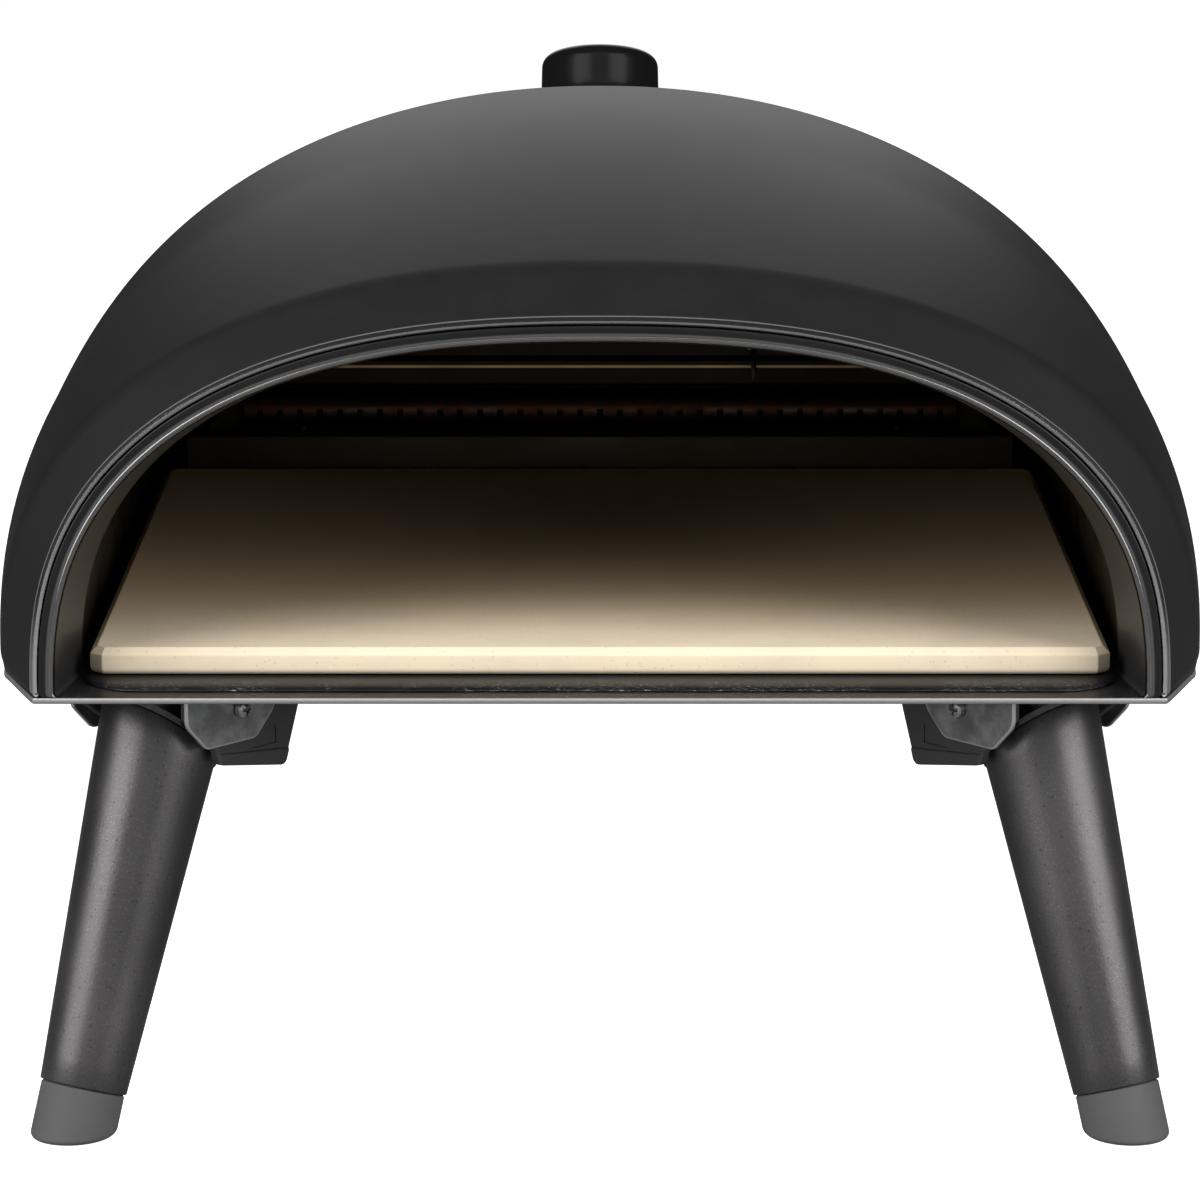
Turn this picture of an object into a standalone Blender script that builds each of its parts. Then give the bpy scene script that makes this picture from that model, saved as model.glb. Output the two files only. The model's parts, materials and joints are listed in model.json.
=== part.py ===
"""Portable gas pizza oven on four folding legs, as an assembly of its separate pieces.

Metres, +Z up. The mouth faces -Y. The origin is on the ground, under the middle of the oven.
Depths named ..._IN are measured backwards from the front rim, and heights named ..._Z from the ground.
"""

import math

import bmesh
import bpy
from mathutils import Matrix, Vector

# General
GAP = 0.0003
SHEET = 0.0015
THIN_SHEET = 0.001
OVERRUN = 0.02
SMOOTH_ANGLE = math.radians(35)
BEVEL_ANGLE = math.radians(40)
ROUND_SIDES = 24
SMALL_ROUND_SIDES = 16
HOLE_SIDES = 12
SCREW_SIDES = 8
HEX_SIDES = 6
UNDERSIDE_Z = 0.148

# Dome shell: its widest line runs near the stone's top, and below that line it tucks in to the pan
BACK_COMPARTMENT = 0.072
RIM_FLANGE = 0.0091
RIM_RISE = 0.006
RIM_SIDE_DROP = 0.0115
RIM_TUCK = 0.001
CREASE_IN = 0.020
CREASE_FLARE = 0.0124
CREASE_RISE = 0.0155
BELLY_IN = 0.150
BELLY_SWELL = 0.0078
BELLY_TUCK = 0.012
PEAK_IN = 0.215
PEAK_RISE = 0.0315
RIM_POWER = 2.45
CREASE_POWER = 2.3
BODY_POWER = 2.1
SWELL_POWER = 1.9
PLAN_POWER = 3.5
PROFILE_POWER = 2.3
BACK_WIDTH_SHARE = 0.55
BACK_CROWN_SHARE = 0.42
SHELL_STATION_SHARES = (0.08, 0.20, 0.33, 0.46, 0.58, 0.69, 0.79, 0.87, 0.93, 0.97, 1.0)
ARCH_STEPS = 26
TUCK_STEPS = 3

# Gas inlet at the back
INLET_REACH = 0.025
INLET_X = 0.045
INLET_RISE = 0.022
INLET_RADIUS = 0.008
INLET_BORE_RADIUS = 0.005
INLET_NUT_RADIUS = 0.0125
INLET_NUT_THICKNESS = 0.007
INLET_TAIL = 0.012
INLET_TAIL_RADIUS = 0.006

# Base pan, stone tray and stone
TRAY_RISE = 0.0032
TRAY_FRONT_IN = 0.0205
TRAY_SLOPE = 0.0012
TRAY_ROUND = 0.0008
TRAY_CORNER = 0.020
STONE_WIDTH = 0.335
STONE_LENGTH = 0.335
STONE_THICKNESS = 0.010
STONE_IN = 0.024
STONE_SIDE_CLEARANCE = 0.007
STONE_CORNER = 0.005
STONE_CHAMFER = 0.0025
TRAY_MARGIN = 0.0019

# Mouth frame
FRAME_SEAM = 0.0005
FRAME_FACE = 0.007
FRAME_ROUND = 0.0012
FRAME_LIP = 0.005
FRAME_RETURN = 0.041
FRAME_TAPER = 0.0035
FRAME_SET_BACK = 0.0006

# Inner liner and its blanket
LINER_CROWN = 0.106
LINER_POWER = 2.4
LINER_BEHIND_BURNER = 0.015
LINER_NARROWING = 0.0145
LINER_NARROW_RUN = 0.068
LINER_BACK_CROWN = 0.055
LINER_FALL_RUN = 0.103
LINER_STATION_SHARES = (0.0, 0.715, 0.78, 0.84, 0.90, 0.95, 1.0)
BLANKET_THICKNESS = 0.012
BLANKET_CLEARANCE = 0.0006
BLANKET_FOOT_RISE = 0.009

# Back wall of the chamber, with two folds
WALL_CLEARANCE = 0.0008
WALL_FOLD = 0.002
WALL_FOLD_LOW = 0.024
WALL_FOLD_HIGH = 0.035
WALL_FOLD_RUN = 0.002
WALL_TOP_SHARE = 0.93

# Flame guard, burner and its feet
GUARD_CLEARANCE = 0.005
GUARD_SIDE_CLEARANCE = 0.0145
GUARD_RISE = 0.012
GUARD_FLANGE = 0.007
BURNER_BEHIND_GUARD = 0.024
BURNER_RISE = 0.018
BURNER_RADIUS = 0.009
BURNER_SIDES = 14
BURNER_BORE_RADIUS = 0.0075
BURNER_END_INSET = 0.020
PORT_PITCH = 0.0078
PORT_WIDTH = 0.0024
PORT_HEIGHT = 0.0032
PORT_END_MARGIN = 0.006
VENTURI_RADIUS = 0.0075
VENTURI_BORE_RADIUS = 0.006
VENTURI_REACH = 0.031
BURNER_FOOT_INSET = 0.025
BURNER_FOOT_WIDTH = 0.014
BURNER_FOOT_FLANGE = 0.012

# Jet, pipes and wires in the back compartment
JET_LENGTH = 0.014
JET_RADIUS = 0.005
JET_NOSE_RADIUS = 0.0025
JET_STANDOFF = 0.004
PIPE_RADIUS = 0.003
PIPE_ELBOW_X = 0.034
PIPE_LOW_X = 0.018
LEAD_RADIUS = 0.00125

# Igniter electrode
ELECTRODE_X = 0.060
ELECTRODE_RISE = 0.043
CERAMIC_RADIUS = 0.0035
CERAMIC_FRONT = 0.004
CERAMIC_BACK = 0.022
ELECTRODE_RADIUS = 0.001
SPARK_GAP = 0.003

# Control knob and valve, on an axis square to the shell
KNOB_FROM_BACK = 0.095
KNOB_RADIUS = 0.0215
KNOB_TOP_RADIUS = 0.0208
KNOB_HEIGHT = 0.0205
KNOB_SHOULDER = 0.0045
KNOB_SHOULDER_STEPS = 3
KNOB_SIDES = 28
KNOB_SKIRT_WALL = 0.003
KNOB_HOLLOW_DEPTH = 0.013
KNOB_BOSS_RADIUS = 0.007
KNOB_TRAVEL = 0.0025
BEZEL_RADIUS = 0.0245
BEZEL_HEIGHT = 0.0030
BEZEL_LIP = 0.0012
STEM_RADIUS = 0.004
STEM_CLEARANCE = 0.0004
STEM_IN_KNOB = 0.009
NECK_RADIUS = 0.009
COLLAR_RADIUS = 0.0065
COLLAR_THICKNESS = 0.002
COLLAR_RECESS = 0.006
VALVE_RADIUS = 0.0135
VALVE_TOP_DEPTH = 0.0045
VALVE_DEPTH = 0.030
VALVE_SHOULDER = 0.002
STEM_DEPTH = 0.020
PORT_DEPTH = 0.023
PORT_REACH = 0.005
PORT_RADIUS = 0.0048

# Back cover
COVER_HALF_WIDTH = 0.078
COVER_HEIGHT = 0.052
COVER_CORNER = 0.008
COVER_RISE = 0.010
COVER_OVERLAP = 0.010
COVER_SCREW_INSET = 0.005
SCREW_RADIUS = 0.0015
SCREW_HEAD_RADIUS = 0.0032
SCREW_HEAD_HEIGHT = 0.0018
SCREW_LENGTH = 0.007

# Folding legs, with the pivot above and the foot's middle on the leg's own line
PIVOT_DROP = 0.0088
FRONT_PIVOT_INSET = 0.0638
FRONT_PIVOT_IN = 0.0578
REAR_PIVOT_INSET = 0.0578
REAR_PIVOT_FROM_BACK = 0.155
LEG_HEADING = math.radians(50.9)
LEG_SPLAY = math.radians(19.0)
LEG_OFFSET = 0.007
LEG_TOP_RADIUS = 0.02075
LEG_BOTTOM_RADIUS = 0.0145
LEG_WALL = 0.0016
LEG_TOP_OUTER = 0.006
LEG_TOP_INNER = 0.023
FOOT_RADIUS = 0.014
FOOT_COLLAR = 0.0115
FOOT_SPIGOT = 0.016
FOOT_ROUND = 0.0015

# Leg knuckle
EYE_RADIUS = 0.0064
EYE_HALF_WIDTH = 0.0208
CAP_THICKNESS = 0.002
PLUG_LENGTH = 0.012

# Leg bracket and shoe, as distances inwards (+) and outwards (-) of the pivot
BRACKET_HALF_LENGTH = 0.0235
BRACKET_HALF_WIDTH = 0.027
BRACKET_STRAIGHT = 0.0107
BRACKET_HEIGHT = 0.0199
BRACKET_BEVEL = 0.0095
BRACKET_WEB_IN = 0.004
SHOE_WALL = 0.0035
SHOE_OUTER_END = 0.022
SHOE_INNER_END = 0.035
SHOE_HEIGHT = 0.0305
SHOE_STRAIGHT = 0.0105
SHOE_NOSE = 0.007
SHOE_HEEL = 0.014
SHOE_HEEL_RISE = 0.0025
SHOE_LIP = 0.0062
STOP_INNER_END = 0.0095

# Pivot bolt and nut
BOLT_RADIUS = 0.003
BOLT_HOLE_RADIUS = 0.0034
BOLT_HEAD_RADIUS = 0.006
BOLT_HEAD_HEIGHT = 0.0034
BOLT_HEAD_ROUND = 0.0018
BOLT_TAIL = 0.0012
NUT_RADIUS = 0.0057
NUT_THICKNESS = 0.0045

# Sizes that follow from the ones above: half widths and crowns from the stone and liner outwards
LINER_HALF_WIDTH = STONE_WIDTH / 2 + STONE_SIDE_CLEARANCE
LINER_BACK_HALF_WIDTH = LINER_HALF_WIDTH - LINER_NARROWING
GUARD_HALF_WIDTH = LINER_HALF_WIDTH - GUARD_SIDE_CLEARANCE
BURNER_HALF_LENGTH = GUARD_HALF_WIDTH - BURNER_END_INSET
BURNER_FOOT_X = BURNER_HALF_LENGTH - BURNER_FOOT_INSET
RIM_HALF_WIDTH = LINER_HALF_WIDTH + RIM_FLANGE
CREASE_HALF_WIDTH = RIM_HALF_WIDTH + CREASE_FLARE
BELLY_HALF_WIDTH = CREASE_HALF_WIDTH + BELLY_SWELL
RIM_CROWN = LINER_CROWN + RIM_RISE
CREASE_CROWN = RIM_CROWN + CREASE_RISE
PEAK_CROWN = CREASE_CROWN + PEAK_RISE
FRONT_PIVOT_X = BELLY_HALF_WIDTH - FRONT_PIVOT_INSET
REAR_PIVOT_X = BELLY_HALF_WIDTH - REAR_PIVOT_INSET

# Depths, from the stone backwards
GUARD_IN = STONE_IN + STONE_LENGTH + GUARD_CLEARANCE
BURNER_IN = GUARD_IN + BURNER_BEHIND_GUARD
LINER_BACK_IN = BURNER_IN + LINER_BEHIND_BURNER
LINER_FALL_IN = LINER_BACK_IN - LINER_FALL_RUN
LINER_NARROW_IN = LINER_BACK_IN - LINER_NARROW_RUN
VENTURI_END_IN = LINER_BACK_IN + VENTURI_REACH
SHELL_DEPTH = LINER_BACK_IN + BACK_COMPARTMENT
KNOB_IN = SHELL_DEPTH - KNOB_FROM_BACK
REAR_PIVOT_IN = SHELL_DEPTH - REAR_PIVOT_FROM_BACK

# Places and heights
FRONT_Y = -(SHELL_DEPTH + INLET_REACH) / 2
PAN_TOP_Z = UNDERSIDE_Z + SHEET
ON_PAN_Z = PAN_TOP_Z + GAP
TRAY_TOP_Z = PAN_TOP_Z + TRAY_RISE
STONE_Z = TRAY_TOP_Z + GAP
LEVEL_Z = STONE_Z + STONE_THICKNESS
PIVOT_Z = UNDERSIDE_Z - PIVOT_DROP
PLAN_END_SHARE = (1 - BACK_WIDTH_SHARE**PLAN_POWER) ** (1 / PLAN_POWER)
PROFILE_END_SHARE = (1 - BACK_CROWN_SHARE**PROFILE_POWER) ** (1 / PROFILE_POWER)
PLAN_RUN = (SHELL_DEPTH - BELLY_IN) / PLAN_END_SHARE
PROFILE_RUN = (SHELL_DEPTH - PEAK_IN) / PROFILE_END_SHARE


# Scene and object helpers


def clear_scene():
    for obj in list(bpy.data.objects):
        bpy.data.objects.remove(obj)


def new_collection(name):
    collection = bpy.data.collections.new(name)
    bpy.context.scene.collection.children.link(collection)
    return collection


def new_material(name, colour, roughness, metallic=0.0):
    material = bpy.data.materials.new(name)
    material.use_nodes = True
    shader = material.node_tree.nodes["Principled BSDF"]
    shader.inputs["Base Color"].default_value = (*colour, 1)
    shader.inputs["Roughness"].default_value = roughness
    shader.inputs["Metallic"].default_value = metallic
    return material


def add_object(name, mesh, material, matrix=None, parent=None):
    """A part, shaded smooth up to sharp edges."""
    obj = bpy.data.objects.new(name, mesh)
    PARTS.objects.link(obj)
    if material is not None and not mesh.materials:
        mesh.materials.append(material)
    if mesh.polygons:
        mesh.shade_smooth()
        mesh.set_sharp_from_angle(angle=SMOOTH_ANGLE)
    obj.parent = parent
    if matrix is not None:
        obj.matrix_basis = matrix
    return obj


def add_helper(name, mesh, matrix=None, parent=None):
    """A cutter, or a piece that a Boolean joins to a part. It isn't a part itself."""
    obj = bpy.data.objects.new(name, mesh)
    HELPERS.objects.link(obj)
    obj.hide_render = True
    obj.display_type = "WIRE"
    obj.parent = parent
    if matrix is not None:
        obj.matrix_basis = matrix
    return obj


def mesh_of(name, build):
    """A mesh filled by the function build, which gets an empty bmesh."""
    mesh = bpy.data.meshes.new(name)
    edit = bmesh.new()
    build(edit)
    edit.to_mesh(mesh)
    edit.free()
    return mesh


def boolean(obj, other, operation):
    modifier = obj.modifiers.new(f"{operation.title()} {other.name}", "BOOLEAN")
    modifier.operation = operation
    modifier.solver = "EXACT"
    modifier.object = other


def cut(obj, other):
    boolean(obj, other, "DIFFERENCE")


def join(obj, other):
    boolean(obj, other, "UNION")


def thicken(obj, thickness, offset):
    modifier = obj.modifiers.new("Sheet", "SOLIDIFY")
    modifier.thickness = thickness
    modifier.offset = offset
    modifier.use_even_offset = True


def bevel(obj, width, segments=2):
    modifier = obj.modifiers.new("Rounding", "BEVEL")
    modifier.width = width
    modifier.segments = segments
    modifier.limit_method = "ANGLE"
    modifier.angle_limit = BEVEL_ANGLE


# Shapes


def box_mesh(name, low, high):
    """A box between two corners."""

    def build(edit):
        middle = (Vector(low) + Vector(high)) / 2
        size = Vector(high) - Vector(low)
        place = Matrix.Translation(middle) @ Matrix.Diagonal((*size, 1))
        bmesh.ops.create_cube(edit, size=1, matrix=place)

    return mesh_of(name, build)


def cone_mesh(name, low, high, low_radius, high_radius=None, segments=ROUND_SIDES):
    """A cylinder or a cone between two points."""

    def build(edit):
        start, end = Vector(low), Vector(high)
        turn = (end - start).to_track_quat("Z", "Y").to_matrix().to_4x4()
        bmesh.ops.create_cone(
            edit,
            cap_ends=True,
            segments=segments,
            radius1=low_radius,
            radius2=low_radius if high_radius is None else high_radius,
            depth=(end - start).length,
            matrix=Matrix.Translation((start + end) / 2) @ turn,
        )

    return mesh_of(name, build)


def turned_mesh(name, profile, ring=False):
    """The outline of a turned shape down its outer side, or of a turned ring, for a Screw modifier."""

    def build(edit):
        points = [edit.verts.new((radius, 0, height)) for radius, height in profile]
        after = points[1:] + points[:1] if ring else points[1:]
        for first, second in zip(points, after):
            edit.edges.new((first, second))

    return mesh_of(name, build)


def turn(obj, steps):
    modifier = obj.modifiers.new("Turning", "SCREW")
    modifier.steps = steps
    modifier.render_steps = steps
    modifier.use_merge_vertices = True
    modifier.merge_threshold = 0.00001
    modifier.use_smooth_shade = True


def plate_mesh(name, outline, thickness, matrix=None):
    """A flat outline in X and Y, thickened half to each side, from a filled 2D curve."""
    curve = bpy.data.curves.new(name, "CURVE")
    curve.dimensions = "2D"
    curve.fill_mode = "BOTH"
    curve.extrude = thickness / 2
    spline = curve.splines.new("POLY")
    spline.points.add(len(outline) - 1)
    for point, (x, y) in zip(spline.points, outline):
        point.co = (x, y, 0, 1)
    spline.use_cyclic_u = True
    obj = bpy.data.objects.new(name, curve)
    HELPERS.objects.link(obj)
    graph = bpy.context.evaluated_depsgraph_get()
    mesh = bpy.data.meshes.new_from_object(obj.evaluated_get(graph))
    bpy.data.objects.remove(obj)
    edit = bmesh.new()
    edit.from_mesh(mesh)
    bmesh.ops.remove_doubles(edit, verts=edit.verts, dist=thickness / 1000)
    bmesh.ops.recalc_face_normals(edit, faces=edit.faces)
    if matrix is not None:
        bmesh.ops.transform(edit, matrix=matrix, verts=edit.verts)
    edit.to_mesh(mesh)
    edit.free()
    return mesh


def rounded_rectangle(half_width, low, high, corner, steps=4):
    """The outline of a rectangle with round corners, from x = -half_width to half_width."""
    outline = []
    centres = (
        (half_width - corner, high - corner, 0),
        (corner - half_width, high - corner, 1),
        (corner - half_width, low + corner, 2),
        (half_width - corner, low + corner, 3),
    )
    for x, y, quarter in centres:
        for step in range(steps + 1):
            angle = math.pi / 2 * (quarter + step / steps)
            outline.append((x + corner * math.cos(angle), y + corner * math.sin(angle)))
    return outline


def loft_faces(edit, rings, closed=False, flip=False):
    """Faces between rings of points of one length, each joined to the next."""
    made = [[edit.verts.new(point) for point in ring] for ring in rings]
    for ring, after in zip(made, made[1:]):
        last = len(ring) if closed else len(ring) - 1
        for i in range(last):
            j = (i + 1) % len(ring)
            corners = (ring[i], ring[j], after[j], after[i])
            edit.faces.new(corners[::-1] if flip else corners)
    return made


def smooth_route(points, per_span=4):
    """Points of a Catmull-Rom curve through the given ones, whose first and last stretches stay straight."""
    points = [Vector(point) for point in points]
    route = [points[0]]
    for a, b, c, d in zip(points, points[1:], points[2:], points[3:]):
        for step in range(per_span):
            t = step / per_span
            slope = (c - a) * t
            bend = (2 * a - 5 * b + 4 * c - d) * t**2
            twist = (3 * b - a - 3 * c + d) * t**3
            route.append(b + (slope + bend + twist) / 2)
    return [*route, points[-2], points[-1]]


def tube_object(name, route, radius, material, resolution=2):
    """A round wire or pipe along a route."""
    curve = bpy.data.curves.new(name, "CURVE")
    curve.dimensions = "3D"
    curve.bevel_depth = radius
    curve.bevel_resolution = resolution
    curve.use_fill_caps = True
    spline = curve.splines.new("POLY")
    spline.points.add(len(route) - 1)
    for point, place in zip(spline.points, route):
        point.co = (*place, 1)
    curve.materials.append(material)
    obj = bpy.data.objects.new(name, curve)
    PARTS.objects.link(obj)
    return obj


# The oven's own curves


def back(depth_in):
    """The Y of a depth behind the front rim."""
    return FRONT_Y + depth_in


def mix(low, high, share):
    return low + (high - low) * share


def shell_crown(depth_in):
    """Height of the dome's top line over the stone's level."""
    if depth_in <= CREASE_IN:
        return mix(RIM_CROWN, CREASE_CROWN, depth_in / CREASE_IN)
    if depth_in <= PEAK_IN:
        share = (PEAK_IN - depth_in) / (PEAK_IN - CREASE_IN)
        return PEAK_CROWN - (PEAK_CROWN - CREASE_CROWN) * share**SWELL_POWER
    share = (depth_in - PEAK_IN) / PROFILE_RUN
    return PEAK_CROWN * (1 - share**PROFILE_POWER) ** (1 / PROFILE_POWER)


def shell_half_width(depth_in):
    if depth_in <= CREASE_IN:
        return mix(RIM_HALF_WIDTH, CREASE_HALF_WIDTH, depth_in / CREASE_IN)
    if depth_in <= BELLY_IN:
        share = (BELLY_IN - depth_in) / (BELLY_IN - CREASE_IN)
        return BELLY_HALF_WIDTH - (BELLY_HALF_WIDTH - CREASE_HALF_WIDTH) * share**2
    share = (depth_in - BELLY_IN) / PLAN_RUN
    return BELLY_HALF_WIDTH * (1 - share**PLAN_POWER) ** (1 / PLAN_POWER)


def shell_front_share(depth_in):
    """0 at the rim and 1 from the crease backwards."""
    return min(depth_in / CREASE_IN, 1)


def shell_tuck(depth_in):
    return mix(RIM_TUCK, BELLY_TUCK, shell_front_share(depth_in))


def shell_power(depth_in):
    if depth_in <= CREASE_IN:
        return mix(RIM_POWER, CREASE_POWER, depth_in / CREASE_IN)
    share = min((depth_in - CREASE_IN) / (BELLY_IN - CREASE_IN), 1)
    return mix(CREASE_POWER, BODY_POWER, share)


def arch(y, half_width, side_z, crown_z, power, foot_half_width, foot_z, tuck_steps=1):
    """Section of a dome: a quarter ellipse from each foot to the widest line, and a superellipse over."""
    points = []
    for step in range(tuck_steps):
        angle = math.pi / 2 * (1 - step / tuck_steps)
        x = foot_half_width + (half_width - foot_half_width) * math.cos(angle)
        points.append((-x, y, side_z + (foot_z - side_z) * math.sin(angle)))
    over = []
    for step in range(ARCH_STEPS + 1):
        angle = math.pi * (1 - step / ARCH_STEPS)
        across, up = math.cos(angle), math.sin(angle)
        x = math.copysign(half_width * abs(across) ** (2 / power), across)
        over.append((x, y, side_z + (crown_z - side_z) * max(up, 0) ** (2 / power)))
    mirrored = [(-x, y, z) for x, y, z in reversed(points)]
    return points + over + mirrored


def shell_section(depth_in):
    half_width = shell_half_width(depth_in)
    side_z = LEVEL_Z - RIM_SIDE_DROP * (1 - shell_front_share(depth_in))
    return arch(
        back(depth_in),
        half_width,
        side_z,
        LEVEL_Z + shell_crown(depth_in),
        shell_power(depth_in),
        half_width - shell_tuck(depth_in),
        ON_PAN_Z,
        TUCK_STEPS,
    )


def liner_half_width(depth_in):
    share = max(depth_in - LINER_NARROW_IN, 0) / (LINER_BACK_IN - LINER_NARROW_IN)
    return mix(LINER_HALF_WIDTH, LINER_BACK_HALF_WIDTH, share**2)


def liner_crown(depth_in):
    share = max(depth_in - LINER_FALL_IN, 0) / (LINER_BACK_IN - LINER_FALL_IN)
    return mix(LINER_CROWN, LINER_BACK_CROWN, (1 - math.cos(math.pi * share)) / 2)


def liner_section(depth_in, grow=0.0, foot_rise=0.0):
    """Section of the chamber's inner face, or of a face that lies outside it by the length grow."""
    half_width = liner_half_width(depth_in) + grow
    side_z = ON_PAN_Z + foot_rise
    crown_z = LEVEL_Z + liner_crown(depth_in) + grow
    return arch(back(depth_in), half_width, side_z, crown_z, LINER_POWER, half_width, side_z, 0)


def station_depths(start, end, shares):
    return [mix(start, end, share) for share in shares]


# Housing


def make_outer_shell(knob_axis):
    """The dome: a plain band from the rim to the crease, the swelling body, and a flat back."""
    depths = [0, CREASE_IN, *station_depths(CREASE_IN, SHELL_DEPTH, SHELL_STATION_SHARES)]

    def build(edit):
        made = loft_faces(edit, [shell_section(depth) for depth in depths])
        edit.faces.new(made[-1])

    shell = add_object("outer_shell", mesh_of("outer_shell", build), POWDER_COAT)
    thicken(shell, SHEET, -1)
    hole = cone_mesh(
        "knob_hole",
        (0, 0, -OVERRUN),
        (0, 0, OVERRUN),
        NECK_RADIUS + GAP,
    )
    cut(shell, add_helper("knob_hole", hole, knob_axis))
    low = cover_low_z() + COVER_OVERLAP
    high = cover_low_z() + COVER_HEIGHT - COVER_OVERLAP
    half = COVER_HALF_WIDTH - COVER_OVERLAP
    middle = back(SHELL_DEPTH)
    window = box_mesh("service_window", (-half, middle - OVERRUN, low), (half, middle + OVERRUN, high))
    cut(shell, add_helper("service_window", window))
    for index, (x, z) in enumerate(cover_screw_places()):
        hole = cone_mesh(
            "cover_screw_hole",
            (x, middle - OVERRUN, z),
            (x, middle + OVERRUN, z),
            SCREW_RADIUS + GAP,
            segments=SCREW_SIDES,
        )
        cut(shell, add_helper(f"cover_screw_hole_{index}", hole))


def make_mouth_frame():
    """The separate rim inside the shell's front edge: a narrow face and a tapered return wall."""
    outer = RIM_HALF_WIDTH - SHEET - FRAME_SEAM
    face_outer = outer - FRAME_ROUND
    face_inner = outer - FRAME_FACE
    rings = (
        (outer, FRAME_LIP),
        (outer, FRAME_ROUND),
        (face_outer, 0),
        (face_inner, 0),
        (face_inner - FRAME_ROUND, FRAME_ROUND),
        (face_inner - FRAME_TAPER, FRAME_RETURN),
    )

    def build(edit):
        sections = []
        for half_width, depth in rings:
            side_z = LEVEL_Z - RIM_SIDE_DROP
            crown_z = LEVEL_Z + RIM_CROWN - (RIM_HALF_WIDTH - half_width)
            y = back(depth + FRAME_SET_BACK)
            sections.append(arch(y, half_width, side_z, crown_z, RIM_POWER, half_width, ON_PAN_Z))
        loft_faces(edit, sections, flip=True)

    frame = add_object("mouth_frame", mesh_of("mouth_frame", build), RIM_STEEL)
    thicken(frame, THIN_SHEET, -1)


def make_inner_liner():
    start = FRAME_SET_BACK + FRAME_RETURN + GAP
    depths = station_depths(start, LINER_BACK_IN, LINER_STATION_SHARES)

    def build(edit):
        loft_faces(edit, [liner_section(depth) for depth in depths])

    liner = add_object("inner_liner", mesh_of("inner_liner", build), LINER_STEEL)
    thicken(liner, THIN_SHEET, 1)


def make_insulation():
    """The ceramic-fibre blanket over the liner."""
    start = FRAME_SET_BACK + FRAME_RETURN + GAP
    depths = station_depths(start, LINER_BACK_IN, LINER_STATION_SHARES)
    grow = THIN_SHEET + BLANKET_CLEARANCE

    def build(edit):
        loft_faces(edit, [liner_section(depth, grow, BLANKET_FOOT_RISE) for depth in depths])

    blanket = add_object("insulation", mesh_of("insulation", build), FIBRE)
    thicken(blanket, BLANKET_THICKNESS, 1)


def make_back_wall():
    """The chamber's back wall: a sheet with two folds, cut to the arch of the liner."""
    side_z = ON_PAN_Z
    crown = LEVEL_Z + LINER_BACK_CROWN - WALL_CLEARANCE - side_z
    half_width = LINER_BACK_HALF_WIDTH - WALL_CLEARANCE
    wall_y = back(LINER_BACK_IN) - THIN_SHEET
    fold_y = wall_y - WALL_FOLD
    low = LEVEL_Z + WALL_FOLD_LOW
    high = LEVEL_Z + WALL_FOLD_HIGH
    top = side_z + crown * WALL_TOP_SHARE
    rows = [
        (side_z, wall_y),
        (mix(side_z, low, 1 / 2), wall_y),
        (low, wall_y),
        (low + WALL_FOLD_RUN, fold_y),
        (high, fold_y),
        (high + WALL_FOLD_RUN, wall_y),
        (mix(high, top, 2 / 3), wall_y),
        (top, wall_y),
    ]

    def build(edit):
        rings = []
        for z, y in rows:
            share = (z - side_z) / crown
            x = half_width * (1 - share**LINER_POWER) ** (1 / LINER_POWER)
            rings.append([(-x, y, z), (x, y, z)])
        loft_faces(edit, rings)

    wall = add_object("back_wall", mesh_of("back_wall", build), LINER_STEEL)
    thicken(wall, THIN_SHEET, -1)
    start = back(BURNER_IN)
    end = back(VENTURI_END_IN) + OVERRUN
    z = LEVEL_Z + BURNER_RISE
    tube = cone_mesh("venturi_hole", (0, start, z), (0, end, z), VENTURI_RADIUS + GAP)
    cut(wall, add_helper("venturi_hole", tube))
    z = LEVEL_Z + ELECTRODE_RISE
    ends = ((ELECTRODE_X, start, z), (ELECTRODE_X, end, z))
    ceramic = cone_mesh("ceramic_hole", *ends, CERAMIC_RADIUS + GAP, segments=SMALL_ROUND_SIDES)
    cut(wall, add_helper("ceramic_hole", ceramic))


# Floor


def make_base_pan():
    """The flat pan that the shell stands on, cut to the shell's outline at its foot."""
    depths = [0, CREASE_IN, *station_depths(CREASE_IN, SHELL_DEPTH, SHELL_STATION_SHARES[:-1]), SHELL_DEPTH]
    right = [(shell_half_width(depth) - shell_tuck(depth), back(depth)) for depth in depths]
    left = [(-x, y) for x, y in reversed(right)]
    place = Matrix.Translation((0, 0, UNDERSIDE_Z + SHEET / 2))
    add_object("base_pan", plate_mesh("base_pan", right + left, SHEET, place), PAN_STEEL)


def make_stone_tray():
    """A shallow pressed tray, open below, whose rounded front step shows under the stone."""
    low = back(TRAY_FRONT_IN)
    high = back(STONE_IN + STONE_LENGTH + TRAY_MARGIN)
    half_width = STONE_WIDTH / 2 + TRAY_MARGIN
    steps = (
        (0, ON_PAN_Z),
        (0, ON_PAN_Z + TRAY_ROUND),
        (TRAY_SLOPE, TRAY_TOP_Z - TRAY_ROUND),
        (TRAY_SLOPE + TRAY_ROUND, TRAY_TOP_Z),
    )

    def build(edit):
        rings = []
        for inset, z in steps:
            outline = rounded_rectangle(half_width - inset, low + inset, high - inset, TRAY_CORNER - inset)
            rings.append([(x, y, z) for x, y in outline])
        made = loft_faces(edit, rings, closed=True)
        edit.faces.new(made[-1])

    tray = add_object("stone_tray", mesh_of("stone_tray", build), PAN_STEEL)
    thicken(tray, SHEET, -1)


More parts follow.
